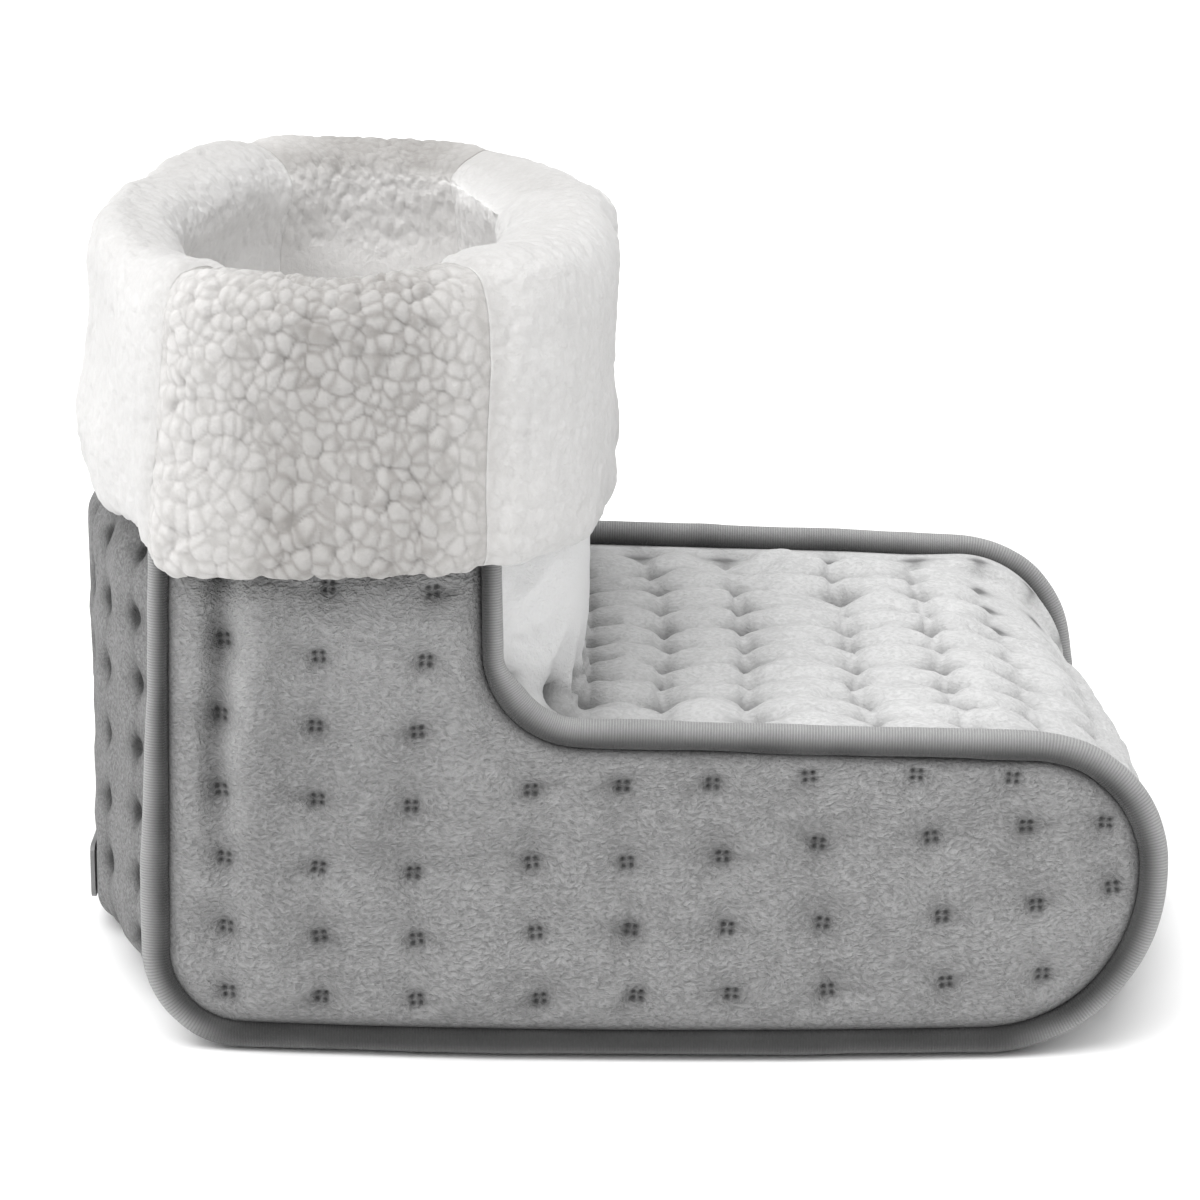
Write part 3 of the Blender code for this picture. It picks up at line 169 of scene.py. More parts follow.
def refined(points):
    """Twice as fine a grid on a smooth surface through the given one."""
    for axis in (0, 1):
        p = np.moveaxis(points, axis, 0)
        middle = (p[:-1] + p[1:]) / 2
        inner = (9 * (p[1:-2] + p[2:-1]) - p[:-3] - p[3:]) / 16
        middle[1:-1] = inner
        fine = np.empty((2 * len(p) - 1, *p.shape[1:]))
        fine[0::2] = p
        fine[1::2] = middle
        points = np.moveaxis(fine, 0, axis)
    return points


def grid_faces(rows, columns, flip=False, start=0):
    r, c = np.meshgrid(np.arange(rows - 1), np.arange(columns - 1), indexing="ij")
    a = (r * columns + c + start).ravel()
    faces = np.stack([a, a + 1, a + columns + 1, a + columns], axis=1)
    return faces[:, ::-1] if flip else faces


def mesh_object(name, points, faces, smooth=True):
    mesh = bpy.data.meshes.new(name)
    mesh.from_pydata([tuple(p) for p in np.asarray(points).tolist()], [], [list(f) for f in faces])
    mesh.validate()
    mesh.update()
    if smooth:
        mesh.polygons.foreach_set("use_smooth", [True] * len(mesh.polygons))
    item = bpy.data.objects.new(name, mesh)
    bpy.context.scene.collection.objects.link(item)
    return item


def cut_body(name, side, grid, keep, back_y, inward=False):
    """Closed soft body over the kept points of an upright grid, with a flat back, and the points it uses."""
    x, y, z = grid
    cell, count = full_cells(keep)
    used = count > 0
    number = np.full(keep.shape, -1)
    number[used] = np.arange(used.sum())
    r, c = np.nonzero(cell)
    quads = np.stack([number[r, c], number[r, c + 1], number[r + 1, c + 1], number[r + 1, c]], axis=1)
    if (side > 0) != inward:
        quads = quads[:, ::-1]
    face = np.stack([x[used], side * y[used], z[used]], axis=1)
    quads = quads.tolist()
    edges = {(a, b) for quad in quads for a, b in zip(quad, quad[1:] + quad[:1])}
    follow = {a: b for a, b in edges if (b, a) not in edges}
    start = min(follow)
    loop = [start]
    while follow[loop[-1]] != start:
        loop.append(follow[loop[-1]])
    back = face[loop].copy()
    back[:, 1] = side * back_y
    count = len(face)
    under = {v: count + i for i, v in enumerate(loop)}
    for a, b in zip(loop, loop[1:] + loop[:1]):
        quads.append((b, a, under[a], under[b]))
    quads.append(tuple(count + i for i in reversed(range(len(loop)))))
    return mesh_object(name, np.concatenate([face, back]), quads), used


def in_steps(number):
    """The nearest whole number that the step of the back grid divides."""
    return int(round(number / BACK_STEP)) * BACK_STEP


def quilt_body(name, face, core, flip=False):
    """Closed soft body: a fine face grid, a coarser back grid and walls between them."""
    step = BACK_STEP
    rows, columns = face.shape[:2]
    back = core[::step, ::step]
    back_rows, back_columns = back.shape[:2]
    offset = rows * columns
    faces = [tuple(f) for f in grid_faces(rows, columns, flip)]
    faces += [tuple(f) for f in grid_faces(back_rows, back_columns, not flip, offset)]
    fine = np.arange(rows * columns).reshape(rows, columns)
    coarse = np.arange(back_rows * back_columns).reshape(back_rows, back_columns) + offset
    sides = (
        (fine[0, :], coarse[0, :], True),
        (fine[-1, :], coarse[-1, :], False),
        (fine[:, 0], coarse[:, 0], False),
        (fine[:, -1], coarse[:, -1], True),
    )
    for run, under, turn in sides:
        for index in range(len(under) - 1):
            ring = list(run[index * step:(index + 1) * step + 1]) + [under[index + 1], under[index]]
            if turn != flip:
                ring = ring[::-1]
            faces.append(tuple(int(v) for v in ring))
    points = np.concatenate([face.reshape(-1, 3), back.reshape(-1, 3)])
    return mesh_object(name, points, faces)


def reshaped(item, change):
    """Move the points of a piece by the given change."""
    flat = np.zeros(len(item.data.vertices) * 3)
    item.data.vertices.foreach_get("co", flat)
    item.data.vertices.foreach_set("co", change(flat.reshape(-1, 3)).ravel())
    item.data.update()
    return item


def paint(item, name, values):
    """Store one number for each point, for the material to read."""
    full = np.zeros(len(item.data.vertices), np.float32)
    flat = np.asarray(values, np.float32).ravel()
    full[:len(flat)] = flat
    attribute = item.data.attributes.new(name, "FLOAT", "POINT")
    attribute.data.foreach_set("value", full)


def dress(item, material, *nodes, slot=None, fill=None):
    """Give a piece its material and the body that it rides on, and hide the solids that it stands for."""
    item.data.materials.append(material)
    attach(item, "root")
    if nodes:
        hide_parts(*nodes)
    return item


# Sizes, and outlines of the seam and of the middle of the warmer, the same as in the solids

LINE_STEPS = 24
ARC_STEPS = 6
FINE_LINE_STEPS = 4
FINE_ARC_STEPS = 24
SIDE_FACE_Y = 0.1211
SHAFT_TOP_Z = 0.2220
FIT_GAP = 0.0003
COVER_THICKNESS = 0.0045
WADDING_THICKNESS = 0.0043
LINER_THICKNESS = 0.0045
LAYER_GAP = 0.0007
LINER_DEPTH = COVER_THICKNESS + WADDING_THICKNESS + 2 * LAYER_GAP
MOUTH_DEPTH = LINER_DEPTH + LINER_THICKNESS + 0.0006
INNER_Y = SIDE_FACE_Y - 3 * FIT_GAP - WADDING_THICKNESS - LINER_THICKNESS
SOLE_THICKNESS = 0.0035
CUFF_INNER_LOW_Z = 0.2050
INLET_Z = 0.0190
PANEL_REACH_X = (-0.1395, 0.1585)


def track(corners, radii, line_steps=LINE_STEPS, arc_steps=ARC_STEPS):
    """Points and outward normals along straight lines joined by arcs."""
    points = []
    normals = []
    begin = np.array(corners[0])
    for index, radius in enumerate(radii):
        corner = np.array(corners[index + 1])
        along = corner - np.array(corners[index])
        along = along / np.linalg.norm(along)
        onward = np.array(corners[index + 2]) - corner
        onward = onward / np.linalg.norm(onward)
        turn = math.atan2(along[0] * onward[1] - along[1] * onward[0], along @ onward)
        arc_start = corner - along * radius * math.tan(abs(turn) / 2)
        for step in range(line_steps):
            points.append(begin + (arc_start - begin) * step / line_steps)
            normals.append((along[1], -along[0]))
        side = math.copysign(1.0, turn)
        centre = arc_start + np.array((-along[1], along[0])) * side * radius
        heading = math.atan2(along[1], along[0])
        for step in range(arc_steps + 1):
            angle = heading + turn * step / arc_steps
            normal = np.array((math.sin(angle), -math.cos(angle)))
            begin = centre + normal * side * radius
            if step < arc_steps:
                points.append(begin)
                normals.append(normal)
    end = np.array(corners[-1])
    along = (end - begin) / np.linalg.norm(end - begin)
    for step in range(line_steps + 1):
        points.append(begin + (end - begin) * step / line_steps)
        normals.append((along[1], -along[0]))
    return np.array(points), np.array(normals)


def outline(heel_top_x, heel_x, low_z, toe_x, toe_z, instep_z, front_x, front_top_x, radii, *steps):
    """Track from the top of the heel, round the sole and the toe, to the top of the shaft's front."""
    corners = (
        (heel_top_x, SHAFT_TOP_Z), (heel_x, low_z), (toe_x, low_z),
        (toe_x, toe_z), (front_x, instep_z), (front_top_x, SHAFT_TOP_Z),
    )
    return track(corners, radii, *steps)


SEAM = outline(
    -0.1310, -0.1385, 0.0083, 0.1570, 0.0915, 0.0970, -0.0420, -0.0440, (0.0180, 0.0390, 0.0340, 0.0240),
)
FINE_SEAM = outline(
    -0.1343, -0.1393, 0.0083, 0.1578, 0.0915, 0.0970, -0.0405, -0.0418, (0.0225, 0.0475, 0.0345, 0.0300),
    FINE_LINE_STEPS, FINE_ARC_STEPS,
)
MIDDLE = outline(
    -0.1705, -0.1725, 0.0, 0.1755, 0.0910, 0.0945, -0.0125, -0.0125, (0.0140, 0.0300, 0.0600, 0.0040),
)
HEEL_LINE_END = LINE_STEPS
HEEL_ARC_END = HEEL_LINE_END + ARC_STEPS
SOLE_LINE_END = HEEL_ARC_END + LINE_STEPS
INSTEP_ARC_START = SOLE_LINE_END + ARC_STEPS + LINE_STEPS + ARC_STEPS + LINE_STEPS
INSTEP_CREASE = INSTEP_ARC_START + ARC_STEPS / 2
TRACK_END = INSTEP_ARC_START + ARC_STEPS + LINE_STEPS


def track_points(samples, at, depth):
    """Points at a depth inside a track, on a smooth line through its points."""
    points, normals = samples
    at = np.asarray(at, float)
    index = np.clip(at.astype(int), 0, len(points) - 2)
    share = (at - index)[..., None]
    start, end = points[index], points[index + 1]
    size = np.linalg.norm(end - start, axis=-1, keepdims=True)
    leave = np.stack([-normals[index, 1], normals[index, 0]], axis=-1) * size
    arrive = np.stack([-normals[index + 1, 1], normals[index + 1, 0]], axis=-1) * size
    eased = share * share * (3 - 2 * share)
    point = start + (end - start) * eased
    point = point + (share ** 3 - 2 * share ** 2 + share) * leave + (share ** 3 - share ** 2) * arrive
    normal = normals[index] + (normals[index + 1] - normals[index]) * share
    normal = normal / np.linalg.norm(normal, axis=-1, keepdims=True)
    return point - normal * np.asarray(depth)[..., None]


def strip_points(at, y, depth, full=2.0):
    """Points of the strip that runs round the warmer, at a depth below its outer face.

    The front of the shaft is as square in plan as the power that full gives.
    """
    at, y, depth = np.broadcast_arrays(np.asarray(at, float), np.asarray(y, float), np.asarray(depth, float))
    seam = track_points(SEAM, at, depth)
    middle = track_points(MIDDLE, at, depth)
    reach = np.minimum(1.0, np.abs(y) / SIDE_FACE_Y)
    plan = 1 - reach ** (2.0 + (full - 2.0) * ease((at - INSTEP_ARC_START + 8) / 8))
    flat = np.where(
        at <= HEEL_ARC_END,
        ease((at - HEEL_LINE_END) / ARC_STEPS),
        1 - ease((at - SOLE_LINE_END) / ARC_STEPS),
    )
    level = plan * (1 - flat) + np.minimum(1.0, 1.03 * (1 - reach ** 12)) * flat
    x = seam[..., 0] + (middle[..., 0] - seam[..., 0]) * plan
    z = seam[..., 1] + (middle[..., 1] - seam[..., 1]) * level
    press = cuff_press(z)
    x = np.where(at < HEEL_LINE_END, x + (0.0035 + 0.0045 * plan) * press, x)
    x = np.where(at > INSTEP_ARC_START, x - 0.002 * plan * press, x)
    return np.stack([x, y, z], axis=-1)


def cuff_press(z):
    """How far the cuff's weight presses on the cloth under it, from 0 to 1."""
    return ease((z - 0.142) / 0.018)


def even_stations(start, end, count):
    """Track places that divide a stretch of the strip into equal lengths, and its length."""
    fine = np.linspace(start, end, 2000)
    line = strip_points(fine, SIDE_FACE_Y / 2, 0.0)
    run = run_along(line)
    places = np.interp(np.linspace(0, run[-1], count + 1), run, fine)
    return places, run[-1]


def station_at_x(x, start, end):
    """Track place on a stretch where the strip reaches a place along X."""
    fine = np.linspace(start, end, 2000)
    line = strip_points(fine, SIDE_FACE_Y / 2, 0.0)[:, 0]
    order = np.argsort(line)
    return np.interp(x, line[order], fine[order])


# Materials

RIB_PITCH = 0.00085
PILE_SHIFT = 0.007
PILE_LEAN = (0.0, 0.6, 0.3)
PILE_STRETCH = (0.75, 1.1, 1.25)


def grey(value, warmth=0.0):
    return (value * (1 + warmth), value, value * (1 - warmth))


def tinted(colour, share):
    return tuple(share * c for c in colour)


def material(name):
    made = bpy.data.materials.new(name)
    made.use_nodes = True
    return made, made.node_tree, made.node_tree.nodes["Principled BSDF"]


def set_sockets(tree, made, **settings):
    """Give a node's sockets a value or a link, and its properties a value; _ stands for a space."""
    for key, value in settings.items():
        socket = made.inputs.get(key.replace("_", " "))
        if socket is None:
            setattr(made, key, value)
        elif isinstance(value, bpy.types.NodeSocket):
            tree.links.new(value, socket)
        else:
            socket.default_value = value
    return made


def node(tree, kind, **settings):
    return set_sockets(tree, tree.nodes.new("ShaderNode" + kind), **settings)


def place_node(tree):
    """Object coordinates in metres."""
    return node(tree, "TexCoord").outputs["Object"]


def noise_node(tree, vector, scale, detail=2.0, roughness=0.5, distortion=0.0, output="Fac"):
    made = node(tree, "TexNoise", Vector=vector, Scale=scale, Detail=detail)
    return set_sockets(tree, made, Roughness=roughness, Distortion=distortion).outputs[output]


def wave_node(tree, vector, direction, **settings):
    return node(tree, "TexWave", Vector=vector, bands_direction=direction, **settings).outputs["Fac"]


def attribute_node(tree, name):
    return node(tree, "Attribute", attribute_name=name).outputs["Fac"]


def math_node(tree, operation, a, b):
    made = node(tree, "Math", operation=operation)
    for socket, value in zip(made.inputs, (a, b)):
        if isinstance(value, (int, float)):
            socket.default_value = value
        else:
            tree.links.new(value, socket)
    return made.outputs[0]


def sum_node(tree, *parts):
    """Sum of sockets, each times its share."""
    first, *others = [math_node(tree, "MULTIPLY", socket, share) for socket, share in parts]
    for part in others:
        first = math_node(tree, "ADD", first, part)
    return first


def ramp_node(tree, fac, low, dark, high, light):
    made = node(tree, "ValToRGB", Fac=fac)
    for element, place, colour in zip(made.color_ramp.elements, (low, high), (dark, light)):
        element.position = place
        element.color = (*colour, 1.0)
    return made.outputs["Color"]


def blend_node(tree, fac, a, b):
    made = node(tree, "Mix", data_type="RGBA")
    sockets = [s for s in made.inputs if s.type == "RGBA"]
    for socket, value in ((made.inputs[0], fac), (sockets[0], a), (sockets[1], b)):
        if isinstance(value, tuple):
            socket.default_value = (*value, 1.0)
        else:
            tree.links.new(value, socket)
    return [s for s in made.outputs if s.type == "RGBA"][0]


def bump_nodes(tree, shader, *layers):
    """Bumps laid over each other, each with its height, its depth in metres and its strength."""
    below = None
    for height, depth, strength in layers:
        made = node(tree, "Bump", Height=height, Distance=depth, Strength=strength)
        if below is not None:
            tree.links.new(below, made.inputs["Normal"])
        below = made.outputs["Normal"]
    tree.links.new(below, shader.inputs["Normal"])


def plush_material(name, light, dark, nap_depth, painted_light):
    """Short clipped pile: small streaks where it leans, clumps where it parts, painted shade in the tufts
    and painted light where marked.
    """
    made, tree, shader = material(name)
    vector = place_node(tree)
    shift = node(tree, "VectorMath", operation="MULTIPLY_ADD")
    shift.inputs[1].default_value = (PILE_SHIFT,) * 3
    tree.links.new(noise_node(tree, vector, 55.0, output="Color"), shift.inputs[0])
    tree.links.new(vector, shift.inputs[2])
    lean = node(tree, "Mapping", Vector=shift.outputs["Vector"], Rotation=PILE_LEAN, Scale=PILE_STRETCH)
    hair = noise_node(tree, lean.outputs["Vector"], 760.0, 2.0, 0.55, 0.45)
    nap = noise_node(tree, vector, 1500.0, 2.0, 0.6, 0.5)
    patch = noise_node(tree, vector, 34.0, 3.0, 0.6, 0.8)
    pile = ramp_node(tree, sum_node(tree, (hair, 0.65), (nap, 0.10), (patch, 0.25)), 0.40, dark, 0.60, light)
    # Painted light: the pile is blended towards a lighter grey where the surface is marked as brightly lit.
    pile = blend_node(tree, attribute_node(tree, "painted_light"), pile, painted_light)
    # Painted shade: darker where the tuft attribute marks pits, creases, stitch dents and edges.
    set_sockets(
        tree, shader, Base_Color=blend_node(tree, attribute_node(tree, "tuft"), pile, tinted(dark, 0.32)),
        Roughness=ramp_node(tree, hair, 0.3, grey(0.85), 0.7, grey(1.0)), Specular_IOR_Level=0.15,
        Sheen_Weight=0.20, Sheen_Roughness=0.45, Sheen_Tint=(*light, 1.0),
    )
    bump_nodes(tree, shader, (hair, nap_depth, 0.9), (nap, 0.0003, 0.6))
    return made


def fleece_material(name, light, dark, curl_scale, inside):
    """Curly fleece: painted warm shade between the curls, woolly fibre on top, painted light inside the
    mouth.
    """
    made, tree, shader = material(name)
    vector = place_node(tree)
    fibre = noise_node(tree, vector, 900.0, 4.0, 0.7, 2.0)
    wool = noise_node(tree, vector, curl_scale, 3.0, 0.6, 1.2)
    cloud = noise_node(tree, vector, 22.0, 2.0, 0.5, 0.4)
    level = sum_node(tree, (wool, 0.6), (cloud, 0.4))
    groove = attribute_node(tree, "groove")
    tone = ramp_node(tree, level, 0.35, tinted(light, 0.92), 0.65, light)
    # Painted light: a much lighter copy of the tone, used inside the mouth and on the linings.
    lit_inside_tone = ramp_node(tree, level, 0.35, tinted(inside, 0.94), 0.65, inside)
    # Painted shade: darker, warmer grey in the grooves, along the seams and on the rim's crest.
    tone = blend_node(tree, groove, tone, dark)
    lit_inside_tone = blend_node(tree, groove, lit_inside_tone, tinted(inside, 0.84))
    set_sockets(
        tree, shader, Base_Color=blend_node(tree, attribute_node(tree, "inside"), tone, lit_inside_tone),
        Roughness=ramp_node(tree, fibre, 0.3, grey(0.9), 0.7, grey(1.0)), Specular_IOR_Level=0.1,
        Sheen_Weight=0.3, Sheen_Roughness=0.6,
    )
    bump_nodes(tree, shader, (wool, 0.0008, 0.5), (fibre, 0.0005, 0.6))
    return made


def binding_material(name):
    """Ribbed tape: fine ribs across the run, with the weave between them, and painted shade where marked."""
    made, tree, shader = material(name)
    run = node(tree, "UVMap", uv_map="run").outputs["UV"]
    rib_scale = math.tau / 20.0 / RIB_PITCH
    ribs = wave_node(tree, run, "X", Scale=rib_scale, Distortion=1.6, Detail=2.0, Detail_Scale=400.0)
    vector = place_node(tree)
    fuzz = noise_node(tree, vector, 1400.0, 3.0, 0.6, 0.5)
    patch = noise_node(tree, vector, 60.0, 3.0, 0.6, 0.3)
    level = sum_node(tree, (ribs, 0.45), (fuzz, 0.3), (patch, 0.35))
    tone = ramp_node(tree, level, 0.25, grey(0.25), 0.8, grey(0.40))
    # Painted shade: the tuft attribute darkens the tape's inner half and its foot near the floor.
    set_sockets(
        tree, shader, Base_Color=blend_node(tree, attribute_node(tree, "tuft"), tone, grey(0.040)),
        Roughness=ramp_node(tree, fuzz, 0.3, grey(0.7), 0.7, grey(0.9)), Specular_IOR_Level=0.25,
        Sheen_Weight=0.25, Sheen_Roughness=0.5,
    )
    bump_nodes(tree, shader, (ribs, 0.0003, 0.7), (fuzz, 0.0002, 0.5))
    return made


def weave_material(name, light, dark, pitch, roughness):
    """Plain woven cloth with crossing threads."""
    made, tree, shader = material(name)
    vector = place_node(tree)
    warp, weft = (wave_node(tree, vector, d, Scale=math.pi / pitch / 10.0, Distortion=0.6) for d in "XY")
    threads = math_node(tree, "MULTIPLY", warp, weft)
    patch = noise_node(tree, vector, 45.0, 3.0)
    set_sockets(
        tree, shader,
        Base_Color=ramp_node(tree, sum_node(tree, (threads, 0.5), (patch, 0.5)), 0.2, dark, 0.7, light),
        Roughness=ramp_node(tree, patch, 0.3, grey(roughness - 0.08), 0.7, grey(roughness + 0.05)),
    )
    bump_nodes(tree, shader, (threads, 0.0004, 0.6))
    return made


def moulded_material(name, colour, roughness, metallic=0.0, scale=900.0):
    """Moulded or drawn part with fine spark texture and slight wear."""
    made, tree, shader = material(name)
    vector = place_node(tree)
    spark = noise_node(tree, vector, scale, 3.0)
    patch = noise_node(tree, vector, 120.0)
    smooth, rough = grey(max(0.05, roughness - 0.1)), grey(min(1.0, roughness + 0.1))
    set_sockets(
        tree, shader, Base_Color=ramp_node(tree, patch, 0.3, tinted(colour, 0.82), 0.7, colour),
        Roughness=ramp_node(tree, spark, 0.3, smooth, 0.7, rough), Metallic=metallic,
    )
    bump_nodes(tree, shader, (spark, 0.00008, 0.4))
    return made


# One grey plush in three tones: the strip's copy is lighter, as painted light where light falls from above,
# and has a smoother nap; the heel's copy is darker, as painted shade under the cuff.
PLUSH = plush_material("short_plush", grey(0.312), grey(0.208), 0.0024, grey(0.5))
PLUSH_SMOOTH_LIT = plush_material("brushed_lit_plush", grey(0.57), grey(0.47), 0.0005, grey(0.84))
PLUSH_HEEL = plush_material("shaded_plush", grey(0.27), grey(0.16), 0.0015, grey(0.5))
# The curly fleece's lower, warmer grey is partly its own colour and partly painted shade for the less lit
# sides of the cuff; the last, near-white tone of each is painted light inside the mouth.
CURLY = fleece_material("curly_fleece", grey(0.44, 0.024), grey(0.245, 0.055), 420.0, grey(0.90, 0.014))
BRUSHED = fleece_material("brushed_fleece", grey(0.62, 0.010), grey(0.47, 0.02), 320.0, grey(0.93, 0.010))
BINDING = binding_material("ribbed_tape")
SOLE = weave_material("sole_cloth", grey(0.11), grey(0.06), 0.0009, 0.85)


# Side panels

TUFT_COLUMNS_MM = (
    (
        (-119.4, 18.2), (-119.6, 39.4), (-119.7, 61.6), (-120.3, 82.8),
        (-120.0, 106.2), (-118.7, 129.5), (-118.3, 150.9),
    ),
    (
        (-90.9, 16.9), (-91.2, 36.8), (-91.4, 59.1), (-91.4, 80.3),
        (-91.6, 103.1), (-90.3, 124.8), (-87.0, 146.4),
    ),
    (
        (-62.1, 15.9), (-61.9, 35.9), (-62.8, 56.9), (-63.2, 78.1),
        (-61.1, 101.5), (-58.5, 123.3), (-56.2, 144.8),
    ),
    ((-24.7, 15.9), (-25.9, 37.8), (-27.0, 60.1), (-27.2, 83.0)),
    ((4.7, 16.9), (2.9, 38.7), (1.6, 61.0), (0.4, 84.0)),
    ((33.3, 17.6), (31.9, 39.4), (30.5, 62.3), (27.4, 84.8)),
    ((62.4, 18.5), (60.9, 40.6), (59.4, 66.4), (56.4, 87.0)),
    ((98.2, 21.4), (96.8, 43.5), (93.3, 68.6), (88.7, 87.5)),
    ((127.5, 24.3), (125.4, 46.7), (122.1, 71.4), (117.7, 86.5)),
    ((148.6, 51.8), (146.0, 72.3)),
)


DENT_X = 0.00125
DENT_Z = 0.00112
DENT_RADIUS = 0.00084
BOW_DEPTH = 0.0112
TOE_SAG_DEPTH = 0.0040


def bow(x, z):
    """How far the foot of a side panel swells out over the middle of the sole."""
    plan = np.clip(1 - ((x - 0.025) / 0.158) ** 2, 0, 1) ** 0.8
    return BOW_DEPTH * plan * (1 - ease((z - 0.004) / 0.062))


def toe_sag(points):
    """The far corner of the toe, on the wearer's left, sits back a little."""
    x, y, z = points[..., 0], points[..., 1], points[..., 2]
    back = TOE_SAG_DEPTH * ease((y + 0.02) / 0.12) * ease((x - 0.075) / 0.06) * ease((z - 0.030) / 0.035)
    return np.stack([x - back, y, z - 0.4 * back], axis=-1)


def tuft_columns():
    """Tuft places in metres, lifted where the panel swells so that the rows stay straight in view."""
    for column in TUFT_COLUMNS_MM:
        spots = np.array(column) * MM
        lift = 0.36 * bow(spots[:, 0], spots[:, 1])
        yield np.stack([spots[:, 0], spots[:, 1] + lift], axis=1)


def outline_distance(x, z):
    """Signed distance from the seam outline, more than zero inside it, and the nearest outline point."""
    line = np.concatenate([FINE_SEAM[0], FINE_SEAM[0][:1]])
    nearest = np.full(x.shape, 1e9)
    foot_x = np.zeros(x.shape)
    foot_z = np.zeros(x.shape)
    crossings = np.zeros(x.shape, int)
    for (ax, az), (bx, bz) in zip(line[:-1], line[1:]):
        length = (bx - ax) ** 2 + (bz - az) ** 2
        if length < 1e-14:
            continue
        share = np.clip(((x - ax) * (bx - ax) + (z - az) * (bz - az)) / length, 0, 1)
        px = ax + (bx - ax) * share
        pz = az + (bz - az) * share
        away = np.hypot(x - px, z - pz)
        better = away < nearest
        nearest = np.where(better, away, nearest)
        foot_x = np.where(better, px, foot_x)
        foot_z = np.where(better, pz, foot_z)
        if az != bz:
            hit = ((az > z) != (bz > z)) & (x < ax + (bx - ax) * (z - az) / (bz - az))
            crossings += hit
    inside = crossings % 2 == 1
    return np.where(inside, nearest, -nearest), foot_x, foot_z


def tuft_marks(dx, dz):
    """Four small dents that the stitching leaves round a tuft, each from 0 to 1."""
    return bell(np.hypot(np.abs(dx) - DENT_X, np.abs(dz) - DENT_Z), DENT_RADIUS, 3)


def side_height(x, z, away, seed):
    """How far the side panel stands out, its painted shade at the tufts and edge, and where painted light
    makes its pile paler.
    """
    edge = np.clip(away / 0.0078, 0, 1)
    rise = 0.0003 + COVER_THICKNESS * np.sqrt(1 - (1 - edge) ** 2)
    rise = rise + 0.0062 * (1 - np.exp(-away / 0.016))
    random = np.random.default_rng(seed)
    nearest = np.full(x.shape, 1.0)
    mark_x = np.full(x.shape, 1.0)
    mark_z = np.full(x.shape, 1.0)
    folds = np.zeros(x.shape)
    channel = np.zeros(x.shape)
    for index, spots in enumerate(tuft_columns()):
        order = np.argsort(spots[:, 1])
        line = np.interp(z, spots[order, 1], spots[order, 0])
        fade = 1 - ease((z - spots[:, 1].max()) / 0.012)
        channel -= 0.0006 * bell(x - line, 0.0042) * fade
        for tx, tz in spots:
            dx = x - tx
            dz = z - tz
            r = np.hypot(dx, dz)
            twist = random.uniform(-0.15, 0.15)
            closer = r < nearest
            mark_x = np.where(closer, dx * math.cos(twist) + dz * math.sin(twist), mark_x)
            mark_z = np.where(closer, dz * math.cos(twist) - dx * math.sin(twist), mark_z)
            nearest = np.where(closer, r, nearest)
            angle = random.uniform(-0.6, 0.6) + (math.pi if random.uniform() < 0.4 else 0.0)
            if index == 0:
                continue
            along = dx * math.cos(angle) + dz * math.sin(angle)
            across = dz * math.cos(angle) - dx * math.sin(angle)
            reach = bell(along - 0.0050, 0.0058) * random.uniform(0.2, 1.0)
            folds -= 0.0015 * reach * bell(across, 0.0018)
            folds += 0.0011 * reach * bell(across + 0.0042, 0.0030)
    pit = -0.0012 * bell(nearest, 0.0036, 4) - 0.0017 * bell(nearest, 0.0078)
    puff = 0.0013 * (1 - bell(nearest, 0.011))
    marks = tuft_marks(mark_x, mark_z)
    first = next(tuft_columns())
    crease = np.interp(z, first[:, 1], first[:, 0]) + 0.0006 * wander(z, 0.016, seed) - 0.0016
    high = ease((z - 0.05) / 0.05)
    dx = x - crease
    channel -= (0.0008 + 0.0030 * high) * bell(dx, 0.0042, 2.5)
    channel += (0.0008 + 0.0034 * high) * bell(dx - 0.0105, 0.0066)
    soft = 0.0012 * layered(x, z, 0.032, 2, seed) + 0.0004 * layered(x, z, 0.0095, 2, seed + 3)
    wave = ease(away / 0.012)
    rise = rise + (pit + puff + channel + soft + folds) * wave
    rise = rise * (1 - 0.55 * cuff_press(z)) - 0.0010 * marks * ease(away / 0.004)
    # Painted shade: darker in the tuft pits and stitch dents, in the crease beside the first column and
    # along the edge under the binding.
    shade = 0.24 * bell(nearest, 0.0034) + 0.04 * bell(nearest, 0.0070) + 0.80 * marks
    shade = shade + 0.46 * high * bell(dx + 0.0006, 0.0024)
    # Painted light: paler up the shaft and on the bulge beside the crease.
    lit = 0.15 * ease((z - 0.080) / 0.05) + 0.30 * high * bell(dx - 0.0062, 0.0036)
    shade = shade + 0.88 * bell(away, 0.0024) + 0.14 * bell(away, 0.0060)
    return rise + bow(x, z), np.clip(shade, 0, 1), lit


def side_panel(name, side, seed, cell, solid):
    """Plush side cover, puffed between its tufts and pulled in at the seam."""
    x, z = np.meshgrid(np.arange(*PANEL_REACH_X, cell), np.arange(0.0075, 0.2232, cell))
    away, foot_x, foot_z = outline_distance(x, z)
    keep = away > 0.3 * cell
    count = full_cells(keep)[1]
    rim = (count > 0) & (count < 4)
    x = np.where(rim, foot_x, x)
    z = np.where(rim, foot_z, z)
    away = np.where(rim, 0.0, away)
    rise, shade, lit = side_height(x, z, np.maximum(away, 0), seed)
    item, used = cut_body(name, side, (x, SIDE_FACE_Y + rise, z), keep, SIDE_FACE_Y + 0.0001)
    # Store the panel's painted shade and painted light for its plush.
    paint(item, "tuft", shade[used])
    paint(item, "painted_light", lit[used])
    return dress(reshaped(item, toe_sag), PLUSH, solid, slot="plush", fill=0.5)


# Quilted strips over the heel, and over the toe, the instep and the front of the shaft

